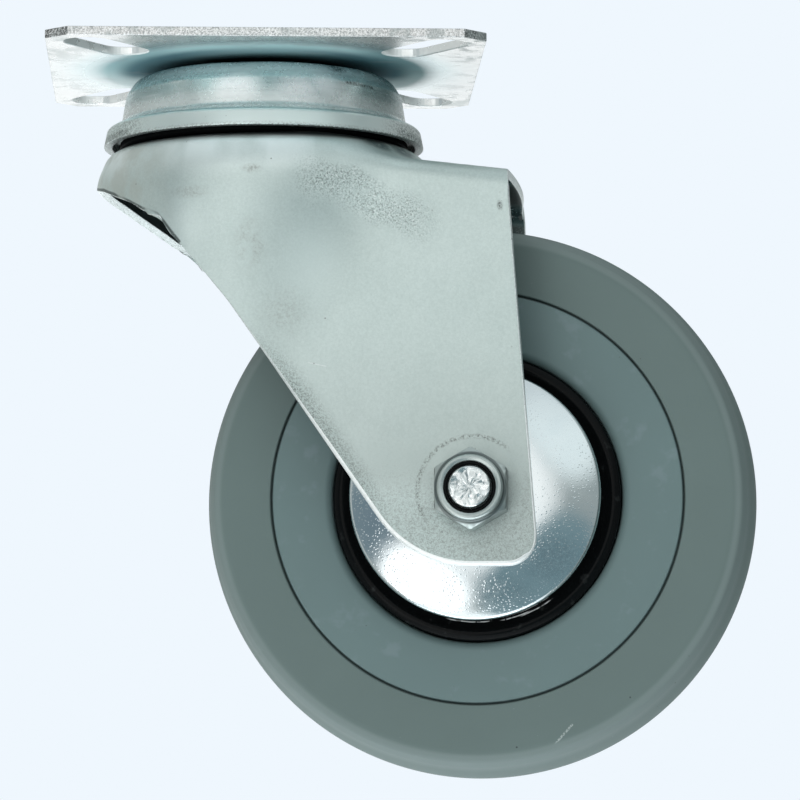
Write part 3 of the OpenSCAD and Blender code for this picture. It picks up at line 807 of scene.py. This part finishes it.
def plate_marks(n, color, rough, height):
    speck = n.noise(1.9, 3.0, 0.75)
    r = n.radius()
    color = n.mix(n.mul(n.span(r, 38.0, 56.0), 0.75), color, (0.765, 0.735, 0.715))
    # sheared edges: coarse bright and dark grain
    lx = n.math("ABSOLUTE", n.x)
    ly = n.math("ABSOLUTE", n.y)
    edge = n.hi(n.span(lx, 49.05, 49.2), n.span(ly, 47.75, 47.9))
    diag = n.span(n.add(lx, ly), 92.0, 92.15)
    edge = n.hi(edge, diag)
    grain = n.noise(2.4, 3.0, 0.8)
    color = n.mix(n.mul(n.mul(edge, n.span(grain, 0.50, 0.60)), 0.8), color, (0.30, 0.32, 0.33))
    color = n.mix(n.mul(edge, n.span(grain, 0.50, 0.38)), color, (0.97, 0.98, 0.99))
    # painted shade: the clipped corners' cut faces nearly black, broken by grain
    color = n.mix(n.mul(n.mul(diag, n.span(grain, 0.40, 0.56)), 0.9), color, (0.05, 0.055, 0.06))
    # mottled, rubbed zinc towards the corners
    out = n.span(r, 38.0, 56.0)
    blot = n.span(n.noise(0.16, 4.0, 0.65), 0.47, 0.62)
    color = n.mix(n.mul(n.mul(out, blot), 0.55), color, (0.50, 0.54, 0.53))
    rough = n.add(rough, n.mul(n.mul(out, blot), 0.22))
    # painted reflection and shade near the head, on the underside: a teal reflection of the dome
    below = n.span(n.z, -1.5, -1.75)
    color = n.mix(n.mul(n.mul(n.span(r, 48.0, 35.0), n.span(n.y, 16.0, -8.0, 0.30, 0.92)), below), color, (0.42, 0.64, 0.66))
    front = n.span(n.y, 14.0, 1.0)
    # painted shade: a dark wedge beside the dome, on the near side
    wedge_shade = n.mul(n.mul(n.span(r, 35.4, 30.0), n.span(lx, 4.0, 24.0, 0.36, 1.0)), front)
    color = n.mix(n.mul(n.mul(wedge_shade, 0.82), below), color, (0.06, 0.17, 0.22))
    # painted contact shadow: a near-black ring round the dome
    color = n.mix(n.mul(n.span(r, 26.8, 18.8, 0.0, 0.98), below), color, (0.006, 0.012, 0.014))
    # painted shade to each side of the head, on the near side
    shade = n.mul(n.mul(n.span(lx, 17.0, 28.0), n.span(lx, 41.5, 31.0)), n.span(r, 48.0, 37.0))
    color = n.mix(n.mul(n.mul(shade, n.span(n.x, 0.0, 20.0, 0.45, 0.75)), n.mul(below, n.span(n.y, 4.0, -14.0))), color, (0.18, 0.34, 0.38))
    # faint handling marks on the face
    smear = n.span(n.noise(0.08, 3.0, 0.6, n.stretched(1.0, 2.0, 1.0)), 0.52, 0.72)
    color = n.mix(n.mul(smear, 0.25), color, (0.40, 0.45, 0.46))
    # painted light: the slots' walls near white
    ax, ay = n.sub(lx, 35.8), n.sub(ly, 33.4)
    c55, s55 = math.cos(math.radians(55)), math.sin(math.radians(55))
    su = n.hi(n.sub(n.math("ABSOLUTE", n.add(n.mul(ax, c55), n.mul(ay, s55))), 7.0), 0.0)
    sv = n.sub(n.mul(ay, c55), n.mul(ax, s55))
    wall = n.span(n.math("SQRT", n.add(n.mul(su, su), n.mul(sv, sv))), 5.66, 5.56)
    color = n.mix(n.mul(wall, 0.8), color, (0.97, 0.99, 0.99))
    rough = n.add(rough, n.mul(edge, 0.15))
    height = n.add(height, n.mul(n.mul(edge, grain), 2.0))
    dull = n.mul(n.mul(n.span(r, 44.0, 36.0), below), n.span(n.y, 32.0, 16.0))
    return color, rough, height, n.span(dull, 0.0, 1.0, 0.62, 0.02), n.span(dull, 0.0, 1.0, 0.5, 0.0)


# ---------------------------------------------------------------- pieces

def put(ob, body, node):
    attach(ob, body)
    if node:
        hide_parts(*([node] if isinstance(node, str) else node))
    return ob


# top plate: a flat outline with four slanted slots and the pin's hole, its edges rolled a little by the shears

def plate_piece():
    cu = bpy.data.curves.new("plate_outline", "CURVE")
    cu.dimensions = "2D"
    cu.fill_mode = "BOTH"
    roll = 0.22
    cu.extrude = (1.0 - roll) * MM
    cu.bevel_depth = roll * MM
    cu.bevel_resolution = 2
    cu.offset = -roll * MM
    l, w, c = 49.3, 48.0, 5.1

    def ring(points):
        s = cu.splines.new("POLY")
        s.points.add(len(points) - 1)
        for q, p in zip(s.points, points):
            q.co = (p[0] * MM, p[1] * MM, 0, 1)
        s.use_cyclic_u = True

    ring(fillet([(-l + c, -w, .6), (l - c, -w, .6), (l, -w + c, .6), (l, w - c, .6), (l - c, w, .6), (-l + c, w, .6), (-l, w - c, .6), (-l, -w + c, .6)]))
    for sx in (-1, 1):
        for sy in (-1, 1):
            a = math.atan2(sy * math.sin(math.radians(55)), sx * math.cos(math.radians(55)))
            pts = arc2((7.0, 0), 5.5, -90, 90, 20) + arc2((-7.0, 0), 5.5, 90, 270, 20)
            pts = [(35.8 * sx + p[0] * math.cos(a) - p[1] * math.sin(a), 33.4 * sy + p[0] * math.sin(a) + p[1] * math.cos(a)) for p in pts]
            ring(pts[::-1])
    ring([(12.0 * math.cos(t), 12.0 * math.sin(t)) for t in np.linspace(2 * math.pi, 0, 97)[:-1]])
    tmp = bpy.data.objects.new("plate_tmp", cu)
    bpy.context.scene.collection.objects.link(tmp)
    me = bpy.data.meshes.new_from_object(tmp.evaluated_get(bpy.context.evaluated_depsgraph_get()))
    bpy.data.objects.remove(tmp)
    me.transform(Matrix.Translation((0, 0, -1.0 * MM)))
    me.name = "plate_skin"
    import bmesh
    bm = bmesh.new()
    bm.from_mesh(me)
    bmesh.ops.remove_doubles(bm, verts=bm.verts, dist=1e-6)
    bmesh.ops.dissolve_degenerate(bm, edges=bm.edges, dist=1e-6)
    bm.to_mesh(me)
    bm.free()
    me.polygons.foreach_set("use_smooth", [True] * len(me.polygons))
    me.set_sharp_from_angle(angle=math.radians(8))
    ob = bpy.data.objects.new("plate_skin", me)
    bpy.context.scene.collection.objects.link(ob)
    ob.matrix_world = HEAD
    return ob


plate = put(plate_piece(), "mount", "top_plate")
paint(plate, zinc("zinc_plate", light=(0.80, 0.845, 0.835), dark=(0.68, 0.74, 0.745), rough=0.20, marks=plate_marks, bump=0.45, metallic=0.62))

# swivel housing: dome, wall, flare and turned-down skirt of one sheet

def housing_piece():
    outer = [(6.1, -2.02), (12.6, -2.02, 2), (29.5, -4.4, 5.6), (31.76, -8.1, 2.3), (32.85, -14.6, 1.4), (36.1, -16.05, 1.5), (36.85, -19.95, 0.25)]
    inner = [(34.85, -20.0, 0.2), (34.85, -17.4, 1.0), (31.2, -15.8, 1.2), (30.85, -14.4, 0.6), (30.15, -9.2, 2.5), (28.0, -5.9, 3.5), (12.6, -4.0, 2), (6.1, -4.0)]
    verts, faces = lathe(fillet(outer + inner, 6), 288)
    v = np.array(verts)
    # small press marks and dents
    for (x, y, z, r, depth) in ((-6.2, -27.3, -4.3, 4.0, 0.28), (-1.5, -28.4, -4.4, 3.0, 0.16), (16.0, -24.6, -5.2, 3.0, 0.35), (20.3, -25.2, -9.2, 3.2, 0.18),
                                (-5.7, -31.5, -9.6, 5.0, 0.22), (6.7, -32.1, -11.0, 4.0, 0.2), (31.5, -9.0, -12.5, 5.0, 0.12), (-26.5, -19.0, -12.6, 6.0, 0.14)):
        d = np.linalg.norm(v - np.array([x, y, z]), axis=1)
        k = np.exp(-(d / r) ** 2) * depth
        rad = np.linalg.norm(v[:, :2], axis=1, keepdims=True)
        v[:, :2] -= v[:, :2] / rad * k[:, None]
    return mesh_object("housing_skin", v, faces, HEAD, 40)


housing = put(housing_piece(), "mount", "swivel_housing")
paint(housing, zinc("zinc_housing", light=(0.66, 0.79, 0.78), dark=(0.53, 0.65, 0.65), rough=0.27, metallic=0.85, marks=housing_marks, bump=0.6))

# fork
fork_v, fork_f, fork_m = fork_skin()
fork_v, fork_f = join((fork_v, fork_f), seat_ring())
fork = mesh_object("fork_skin", fork_v, fork_f, FORK, 42, weld=0.004, mats=fork_m + [0] * (len(fork_f) - len(fork_m)))
put(fork, "fork", "fork")
paint(fork, zinc("zinc_fork", rough=0.46, metallic=0.85, grain=2.6, fine_scale=1.7, marks=fork_marks),
      zinc("zinc_cut_edge", light=(0.90, 0.95, 0.94), dark=(0.58, 0.64, 0.63), rough=0.34, metallic=0.8, grain=2.2, marks=cut_marks, bump=1.6),
      # the inside is the same zinc, painted darker as shade
      zinc("zinc_inside_shaded", light=(0.36, 0.43, 0.42), dark=(0.24, 0.30, 0.30), rough=0.42, metallic=0.85, grain=2.0, marks=inside_marks))


# cover discs

def disc_piece(name, matrix):
    def h(r):
        return 30.0 - max(0.0, r - 9.5) ** 2 / 68.0
    face = [(5.15, 30.0), (9.0, 30.0)] + [(r, h(r)) for r in np.arange(10.5, 27.1, 1.25)] + [(27.6, h(27.6))]
    rim = arc2((27.01, h(27.6) - 1.104), 1.25, 58, 0, 8)
    foot = [(28.3, 22.6), (28.1, 22.3)]
    under = [(27.1, 22.3), (27.1, 23.6)] + [(r, h(r) - 1.15) for r in np.arange(26.3, 10.4, -1.25)] + [(9.0, 28.8), (5.15, 28.8)]
    return mesh_object(name, *lathe(face + rim + foot + under, 256), matrix, 40)


def disc_marks(n, color, rough, height):
    ang = n.math("ARCTAN2", n.y, n.x)
    rad = n.radius()
    speck = n.noise(1.8, 3.0, 0.7)
    # painted reflection: a dark sector to the lower right, fading towards the bottom
    sector = n.near(17.0, -14.5, 26.5, 10.5, 8.0, 12, 0.85)
    sector = n.hi(sector, n.mul(n.near(7.0, -22.0, 26.5, 9.0, 5.0, 12, 0.9), 0.75))
    color = n.mix(n.mul(n.mul(sector, n.span(speck, 0.25, 0.62)), 0.35), color, (0.22, 0.28, 0.32))
    # painted reflection: a bluish patch on the left
    blue = n.near(-21.0, -4.0, 26.0, 8.0, 11.0, 12, 0.9)
    color = n.mix(n.mul(blue, 0.35), color, (0.42, 0.52, 0.62))
    lines = n.noise(0.8, 3.0, 0.6, n.stretched(1.0, 3.2, 1.0))
    scr = n.hi(n.line((10.3, 16.9, 27.5), (14.0, 17.3, 27.2), 0.25), n.line((14.0, 17.3, 27.2), (17.2, 14.9, 26.6), 0.25))
    color = n.mix(n.mul(scr, 0.7), color, (0.25, 0.30, 0.32))
    rough = n.add(rough, n.mul(n.sub(lines, 0.5), 0.14))
    rough = n.add(rough, n.mul(sector, 0.06))
    # fine sparkling pits, most in the dark sector
    pits = n.mul(n.span(n.cells(1.5), 0.36, 0.06), n.span(n.noise(0.5, 2.0, 0.7), 0.40, 0.56))
    rim = n.near(-9.0, -22.5, 26.0, 15.0, 6.5, 12, 0.9)
    height = n.add(height, n.mul(pits, n.add(n.mul(n.hi(sector, n.mul(n.hi(rim, blue), 0.7)), 48.0), 2.5)))
    return color, rough, height


disc_near = put(disc_piece("disc_near", AXLE), "fork", "thread_guard_near")
disc_far = put(disc_piece("disc_far", AXLE @ FLIP), "fork", "thread_guard_far")
disc_mat = zinc("zinc_disc", light=(0.84, 0.89, 0.90), dark=(0.72, 0.79, 0.82), rough=0.13, grain=0.5, marks=disc_marks, bump=0.35)
for d in (disc_near, disc_far):
    paint(d, disc_mat)

seal_ring = fillet([(31.0, -18.9), (33.1, -18.9, .3), (33.2, -20.3, .5), (32.4, -20.9, .4), (31.0, -20.9)])
swivel_seal = put(mesh_object("swivel_seal_skin", *lathe(seal_ring, 192), HEAD, 40), "mount", "swivel_seal")

# wheel core

def both(half):
    return list(half) + [(r, -z) for r, z in reversed(half) if z > 0]


core_half = [(13.5, 0.001)] + fillet([(13.5, 0.0), (13.5, 11.0, .3), (16.0, 11.0), (16.0, 22.0, .3), (20.5, 22.0, .6), (20.5, 12.7), (32.6, 12.7), (32.6, 17.25, 2.2), (40.0, 17.3),
                                      (46.15, 17.15, 0.35), (46.5, 16.3), (46.5, 0.0)])[1:-1] + [(46.5, 0.001)]
core = put(mesh_object("core_skin", *lathe(both(core_half), 256), AXLE, 40), "wheel", "wheel_core")

tyre_half = [(46.52, 0.001)] + fillet([(46.52, 0.0), (46.52, 16.3), (46.9, 17.2, 0.35), (57.6, 17.5, 3.0), (59.6, 16.6, 1.6), (60.7, 13.6, 2.5), (61.6, 9.0, 20), (62.3, 4.0, 30), (62.5, 0.0)])[1:-1] + [(62.5, 0.001)]
tyre = put(mesh_object("tyre_skin", *lathe(both(tyre_half), 320), AXLE, 40), "wheel", "tyre")

seal_half = fillet([(21.0, 12.72), (21.0, 15.2, .4), (23.2, 17.1, 1.5), (29.0, 17.6, 3), (30.9, 18.2, 1.2), (32.4, 17.2, 1.0), (32.5, 12.72)])
seal_near = put(mesh_object("seal_near", *lathe(seal_half, 224), AXLE, 40), "wheel", "dust_seal_near")
seal_far = put(mesh_object("seal_far", *lathe(seal_half, 224), AXLE @ FLIP, 40), "wheel", "dust_seal_far")


def moulded(name, base, light, dark, marks=None, rough=0.55, grain=0.25, specular=0.4):
    n = Nodes(name)
    clouds = n.noise(0.05, 3.0, 0.55)
    fine = n.noise(3.0, 2.0, 0.7)
    rad = n.radius()
    circles = n.noise(1.6, 2.0, 0.5, rad, dim="1D")
    tone = n.add(n.mul(n.sub(clouds, 0.5), 0.9), n.add(n.mul(n.sub(fine, 0.5), grain), 0.5))
    color = n.mix(tone, dark, light)
    r = n.add(rough, n.mul(n.sub(clouds, 0.5), 0.15))
    height = n.add(n.mul(fine, 0.4), n.mul(circles, 0.25))
    if marks:
        color, r, height = marks(n, color, r, height)
    return n.done(color, r, 0.0, n.bump(height, 0.25, 0.1), specular=specular)


def tyre_marks(n, color, rough, height):
    rad = n.radius()
    speck = n.noise(2.4, 2.0, 0.7)
    # the moulded shoulder is rubbed lighter
    band = n.mul(n.span(rad, 57.6, 58.6), n.span(rad, 61.8, 60.6))
    color = n.mix(n.mul(band, 0.22), color, (0.36, 0.41, 0.41))
    groove = n.mul(n.span(rad, 46.1, 46.4), n.span(rad, 47.0, 46.7))
    color = n.mix(n.mul(groove, 0.55), color, (0.03, 0.038, 0.038))
    scr = n.line((15.5, -57.8, 17.5), (21.3, -51.3, 17.5), 0.35)
    color = n.mix(n.mul(scr, n.span(speck, 0.40, 0.55)), color, (0.42, 0.47, 0.46))
    nick = n.near(59.9, 14.7, 17.0, 0.9, 1.4, 2.5, 0.5)
    color = n.mix(n.mul(nick, 0.9), color, (0.85, 0.88, 0.88))
    pins = n.mul(n.span(n.cells(0.16), 0.045, 0.02), n.span(n.noise(0.1, 1.0), 0.5, 0.6))
    color = n.mix(n.mul(pins, 0.8), color, (0.03, 0.035, 0.035))
    speck_mask = n.mul(n.span(n.cells(0.3, n.stretched(1, 1.7, 1)), 0.05, 0.02), n.span(n.noise(0.15, 1.0), 0.48, 0.6))
    color = n.mix(n.mul(speck_mask, 0.5), color, (0.40, 0.45, 0.45))
    return color, rough, height


def core_marks(n, color, rough, height):
    rad = n.radius()
    groove = n.span(rad, 46.0, 46.45)
    color = n.mix(n.mul(groove, 0.5), color, (0.03, 0.038, 0.038))
    pins = n.mul(n.span(n.cells(0.2), 0.04, 0.02), n.span(n.noise(0.1, 1.0), 0.5, 0.6))
    color = n.mix(n.mul(pins, 0.8), color, (0.04, 0.045, 0.045))
    rub = n.span(n.noise(0.16, 3.0, 0.6), 0.56, 0.72)
    color = n.mix(n.mul(rub, 0.18), color, (0.30, 0.36, 0.40))
    return color, rough, height


paint(tyre, moulded("grey_rubber", None, (0.158, 0.212, 0.204), (0.135, 0.182, 0.175), tyre_marks, rough=0.62, specular=0.25))
paint(core, moulded("grey_core", None, (0.156, 0.228, 0.229), (0.136, 0.198, 0.199), core_marks, rough=0.50, specular=0.35))


def black_plastic(name, rough=0.15, specular=0.08, marks=None):
    n = Nodes(name)
    fine = n.noise(2.0, 2.0, 0.6)
    color = n.mix(fine, (0.0015, 0.002, 0.0022), (0.006, 0.007, 0.0075))
    wear = n.span(n.noise(0.3, 3.0, 0.6), 0.62, 0.75)
    color = n.mix(n.mul(wear, 0.3), color, (0.05, 0.055, 0.055))
    r = n.add(rough, n.mul(n.sub(n.noise(0.4, 2.0), 0.5), 0.2))
    if marks:
        color = marks(n, color)
    return n.done(color, r, 0.0, n.bump(fine, 0.12, 0.1), specular=specular)


def ring_highlights(n, color):
    """Painted highlights: thin bright arcs low on the ring."""
    ang = n.mul(n.math("ARCTAN2", n.y, n.x), 180 / math.pi)
    rad = n.add(n.radius(), n.mul(n.sub(n.noise(0.5, 2.0), 0.5), 0.2))
    highlight_breaks = n.span(n.noise(0.8, 3.0, 0.7), 0.36, 0.52)
    for r0, a0, a1 in ((28.15, -103.0, -84.5), (28.35, -78.0, -66.0), (28.6, -69.0, -55.0)):
        line = n.mul(n.span(n.math("ABSOLUTE", n.sub(rad, r0)), 0.16, 0.05), n.mul(n.span(ang, a0 - 2, a0 + 2), n.span(ang, a1 + 2, a1 - 2)))
        color = n.mix(n.mul(n.mul(line, highlight_breaks), 0.8), color, (0.95, 0.97, 0.97))
    return color


black = black_plastic("black_plastic", marks=ring_highlights)
paint(swivel_seal, black_plastic("seal_black", 0.6, 0.03))
for s in (seal_near, seal_far):
    paint(s, black)

# axle nut, its locking ring and the bolt

N_ROUND = 180
RING_A = np.arange(N_ROUND) * 2 * math.pi / N_ROUND


def hexagon(af, soft=0.12):
    """Radius of a hexagon by angle, a flat facing +x, its corners slightly worn."""
    a = (np.degrees(RING_A) + 30.0) % 60.0 - 30.0
    return np.minimum(af / 2 / np.cos(np.radians(a)), af / math.sqrt(3) - soft)


def ring(r, z):
    r = np.broadcast_to(np.asarray(r, float), (N_ROUND,))
    z = np.broadcast_to(np.asarray(z, float), (N_ROUND,))
    return np.stack([r * np.cos(RING_A), r * np.sin(RING_A), z], -1)


def nut_piece():
    hx = hexagon(16.0)
    cone = lambda r: 39.75 - (np.maximum(r, 7.9) - 7.9) * 0.577
    low = lambda r: 32.05 + (np.maximum(r, 8.0) - 8.0) * 0.45
    rs = [ring(5.02, 32.05), ring(7.8, 32.05), ring(hx - 0.05, low(hx)), ring(hx, low(hx) + 0.15), ring(hx, cone(hx) - 0.12), ring(hx - 0.08, cone(hx)),
          ring(7.9, 39.75), ring(7.62, 39.86), ring(7.42, 40.1), ring(7.34, 40.5), ring(7.28, 41.2), ring(7.18, 41.62), ring(6.95, 41.88), ring(6.6, 41.98), ring(6.2, 41.9),
          ring(5.9, 41.7), ring(5.75, 41.3), ring(5.72, 39.5), ring(5.02, 39.5), ring(5.02, 32.05)]
    v, f = rings(rs, False, False)
    return mesh_object("nut_skin", v, f, AXLE, 26, weld=0.002)


def insert_piece():
    return mesh_object("insert_skin", *lathe(fillet([(5.03, 39.6), (5.71, 39.6), (5.71, 41.5, .3), (5.03, 41.2, .2)]), 96), AXLE, 35)


def bolt_piece():
    rng = np.random.default_rng(7)
    hx = hexagon(16.0)
    cone = lambda r: -38.4 + (np.maximum(r, 7.6) - 7.6) * 0.5
    head = rings([ring(7.6, -38.4), ring(hx - 0.05, cone(hx)), ring(hx, cone(hx) + 0.12), ring(hx, -32.3), ring(hx - 0.2, -32.05), ring(4.9, -32.05)], True, True)
    rs = [ring(4.9, -32.2), ring(4.9, 30.0)]
    # threaded end: fine ridges
    z = 30.2
    while z < 41.8:
        rs += [ring(4.55, z), ring(4.98, z + 0.75)]
        z += 1.5
    rs += [ring(4.72, 42.0), ring(4.62, 42.35)]
    shank = rings(rs, True, False)
    # the end face is crumpled by the press
    face = [ring(4.62, 42.35)]
    for r, h in ((4.5, 42.62), (4.25, 42.78), (3.7, 42.72), (3.1, 42.62), (2.5, 42.70), (1.9, 42.78), (1.3, 42.70), (0.7, 42.66)):
        wob = sum(a * np.sin(k * RING_A + ph) for k, a, ph in zip((2, 3, 5, 7, 11), rng.normal(0, 0.05, 5), rng.uniform(0, 6.3, 5)))
        face.append(ring(r, h + wob * 1.3))
    end = rings(face, False, True)
    return mesh_object("bolt_skin", *join(head, shank, end), AXLE, 30, weld=0.002)


nut = put(nut_piece(), "fork", "axle_nut")
insert = put(insert_piece(), "fork", "nut_insert")
bolt = put(bolt_piece(), "fork", "axle_bolt")
paint(insert, black_plastic("black_nylon", 0.35))


def nut_marks(n, color, rough, height):
    speck = n.noise(1.6, 3.0, 0.7)
    # painted shade, mottled, low on the nut next to the leg
    color = n.mix(n.mul(n.span(n.z, 36.5, 33.0), n.span(speck, 0.42, 0.6)), color, (0.28, 0.31, 0.31))
    rad = n.radius()
    # painted shade in the corner between collar and hexagon, on the two upright flats, and low on the right
    corner = n.mul(n.span(rad, 7.25, 7.45), n.span(rad, 8.25, 7.85))
    color = n.mix(n.mul(corner, 0.85), color, (0.10, 0.12, 0.12))
    flat = n.mul(n.span(n.math("ABSOLUTE", n.x), 7.75, 7.95), n.span(n.z, 39.6, 39.2))
    color = n.mix(n.mul(flat, 0.93), color, (0.05, 0.06, 0.06))
    shadow = n.mul(n.span(n.y, -2.0, -5.0), n.mul(n.span(n.x, 1.5, 4.0), n.span(rad, 7.7, 8.1)))
    color = n.mix(n.mul(shadow, 0.6), color, (0.22, 0.25, 0.25))
    return color, rough, height


def bolt_marks(n, color, rough, height):
    end = n.span(n.z, 42.0, 42.4)
    crumple = n.noise(0.34, 3.0, 0.62, None, distort=1.6)
    height = n.add(height, n.mul(n.mul(end, crumple), 6.0))
    color = n.mix(n.mul(n.mul(end, n.span(crumple, 0.47, 0.38)), 0.4), color, (0.55, 0.60, 0.60))
    color = n.mix(n.mul(n.mul(end, n.span(crumple, 0.46, 0.58)), 0.7), color, (0.92, 0.95, 0.94))
    return color, rough, height


paint(nut, zinc("zinc_nut", light=(0.57, 0.63, 0.615), dark=(0.46, 0.52, 0.505), rough=0.32, grain=0.8, marks=nut_marks, metallic=0.8, bump=0.6))
paint(bolt, zinc("zinc_bolt", light=(0.80, 0.84, 0.84), dark=(0.66, 0.71, 0.72), rough=0.26, grain=0.6, marks=bolt_marks, bump=0.9))


# ---------------------------------------------------------------- the CAD nodes that stay

def machined(name, light, dark, rough):
    n = Nodes(name)
    rings_ = n.noise(2.2, 2.0, 0.5, n.radius(), dim="1D")
    fine = n.noise(1.2, 3.0, 0.6)
    color = n.mix(n.add(n.mul(rings_, 0.6), n.mul(fine, 0.4)), dark, light)
    r = n.add(rough, n.mul(n.sub(fine, 0.5), 0.2))
    return n.done(color, r, 1.0, n.bump(n.add(rings_, fine), 0.2, 0.06))


steel = machined("machined_steel", (0.68, 0.69, 0.70), (0.50, 0.52, 0.53), 0.30)
ball = machined("ball_steel", (0.82, 0.82, 0.83), (0.70, 0.71, 0.73), 0.12)
pin = zinc("zinc_pin", light=(0.68, 0.71, 0.68), dark=(0.52, 0.56, 0.54), rough=0.34)
LOOKS = {"kingpin": pin, "kingpin_washer": pin, "kingpin_nut": pin, "lower_race": steel, "upper_balls": ball, "lower_balls": ball,
         "axle_sleeve": steel, "bearing_spacer": steel, "axle_spacer_near": steel, "axle_spacer_far": steel, "bearing_inner_near": steel, "bearing_inner_far": steel,
         "bearing_outer_near": steel, "bearing_outer_far": steel, "bearing_balls_near": ball, "bearing_balls_far": ball}
for name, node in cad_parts.items():
    if not node.hide_render:
        paint(node, LOOKS.get(name, steel))
        me = node.data
        me.polygons.foreach_set("use_smooth", [True] * len(me.polygons))
        me.set_sharp_from_angle(angle=math.radians(30))


# ---------------------------------------------------------------- camera, floor and light

yaw, pitch, roll = 0.034449, 0.113269, 0.000947
f = np.array([math.sin(yaw) * math.cos(pitch), math.cos(yaw) * math.cos(pitch), math.sin(pitch)])
r0 = np.array([math.cos(yaw), -math.sin(yaw), 0.0])
u0 = np.cross(r0, f)
r = r0 * math.cos(roll) + u0 * math.sin(roll)
u = -r0 * math.sin(roll) + u0 * math.cos(roll)
cam_data = bpy.data.cameras.new("camera")
cam_data.sensor_width = 36.0
cam_data.lens = 5406.4958 / 800 * 36.0
cam_data.clip_start, cam_data.clip_end = 0.05, 60.0
cam = bpy.data.objects.new("camera", cam_data)
bpy.context.scene.collection.objects.link(cam)
cam.matrix_world = Matrix(((r[0], u[0], -f[0], -0.0110225), (r[1], u[1], -f[1], -1.2332131), (r[2], u[2], -f[2], -0.2182225), (0, 0, 0, 1)))
bpy.context.scene.camera = cam
bpy.context.scene.view_settings.view_transform = "Standard"
bpy.context.scene.view_settings.look = "None"

# a pale floor, well below the castor, as the photo looks up at it
fl = bpy.data.meshes.new("floor")
fl.from_pydata([(-1.2, -1.2, -1.75), (1.2, -1.2, -1.75), (1.2, 1.2, -1.75), (-1.2, 1.2, -1.75)], [], [(0, 1, 2, 3)])
floor = bpy.data.objects.new("floor", fl)
bpy.context.scene.collection.objects.link(floor)
fm = bpy.data.materials.new("floor_pale")
fm.use_nodes = True
fb = fm.node_tree.nodes["Principled BSDF"]
fb.inputs["Base Color"].default_value = (0.80, 0.84, 0.87, 1)
fb.inputs["Roughness"].default_value = 0.8
floor.data.materials.append(fm)

# soft panels all round: bearing right and up, half-widths of the full and the fading part, colour
LIGHT = [
    (-120, 0, 30, 75, (0.50, 0.53, 0.52)),        # left, towards the back
    (100, -5, 25, 46, (0.08, 0.11, 0.11)),        # dark on the right
    (-10, 2, 16, 40, (1.05, 1.06, 1.05)),         # broad front
    (32, 32, 14, 27, (0.88, 0.95, 0.95)),
    (0, 85, 10, 60, (0.66, 0.72, 0.74)),          # above
    (180, -20, 22, 42, (1.16, 1.21, 1.23)),       # the paper behind
    (-24, 21, 5, 14, (1.62, 1.66, 1.66)),         # a lamp in front, above the middle
    (-58, -4, 12, 24, (0.19, 0.25, 0.28)),
    (-12, -66, 12, 20, (1.5, 1.55, 1.55)),        # from below
    (-38, -34, 15, 24, (1.64, 1.64, 1.63)),       # lamp, low on the left
    (25, -31, 24, 33, (0.18, 0.27, 0.30)),        # dark, low on the right
]

world = bpy.data.worlds.new("studio")
bpy.context.scene.world = world
world.use_nodes = True
wt = world.node_tree
wt.nodes.clear()
wo = wt.nodes.new("ShaderNodeOutputWorld")
seen = wt.nodes.new("ShaderNodeBackground")
seen.inputs[0].default_value = (0.863, 0.930, 0.991, 1)
light_bg = wt.nodes.new("ShaderNodeBackground")
tc = wt.nodes.new("ShaderNodeTexCoord")


def bearing(az, el):
    """A direction, from straight towards the camera's side: az to the right, el up, in degrees."""
    az, el = math.radians(az), math.radians(el)
    return (math.sin(az) * math.cos(el), -math.cos(az) * math.cos(el), math.sin(el))


def lobe(under, az, el, inner, outer, color):
    """A soft-edged panel of light, or a dark one, laid over what is under it."""
    d = wt.nodes.new("ShaderNodeVectorMath")
    d.operation = "DOT_PRODUCT"
    wt.links.new(tc.outputs["Generated"], d.inputs[0])
    d.inputs[1].default_value = bearing(az, el)
    m = wt.nodes.new("ShaderNodeMapRange")
    m.interpolation_type = "SMOOTHSTEP"
    wt.links.new(d.outputs["Value"], m.inputs["Value"])
    m.inputs["From Min"].default_value = math.cos(math.radians(outer))
    m.inputs["From Max"].default_value = math.cos(math.radians(inner))
    x = wt.nodes.new("ShaderNodeMix")
    x.data_type = "RGBA"
    wt.links.new(m.outputs[0], x.inputs["Factor"])
    if isinstance(under, tuple):
        x.inputs[6].default_value = (*under, 1)
    else:
        wt.links.new(under, x.inputs[6])
    x.inputs[7].default_value = (*color, 1)
    return x.outputs[2]


sky = (0.34, 0.38, 0.38)
for panel in LIGHT:
    sky = lobe(sky, *panel)
wt.links.new(sky, light_bg.inputs[0])
light_bg.inputs[1].default_value = 1.0
path = wt.nodes.new("ShaderNodeLightPath")
mixs = wt.nodes.new("ShaderNodeMixShader")
wt.links.new(path.outputs["Is Camera Ray"], mixs.inputs[0])
wt.links.new(light_bg.outputs[0], mixs.inputs[1])
wt.links.new(seen.outputs[0], mixs.inputs[2])
wt.links.new(mixs.outputs[0], wo.inputs[0])


def softbox(name, loc, target, size, power, color=(1, 1, 1)):
    d = bpy.data.lights.new(name, "AREA")
    d.shape = "RECTANGLE"
    d.size, d.size_y = size
    d.energy = power
    d.color = color
    o = bpy.data.objects.new(name, d)
    bpy.context.scene.collection.objects.link(o)
    o.location = loc
    o.rotation_mode = "QUATERNION"
    from mathutils import Vector
    o.rotation_quaternion = (Vector(target) - Vector(loc)).to_track_quat("-Z", "Y")
    o.visible_glossy = False        # the panels of the world are what the metal mirrors
    o.visible_camera = False
    return o


AIM = (0.02, 0, -0.08)
softbox("key", (-1.0, -1.3, -0.95), AIM, (1.1, 1.1), 5)
softbox("fill", (0.9, -1.6, 0.7), AIM, (1.2, 1.0), 3)
softbox("floor_wash", (0, 0, -1.2), (0, 0, -1.75), (1.8, 1.8), 26)
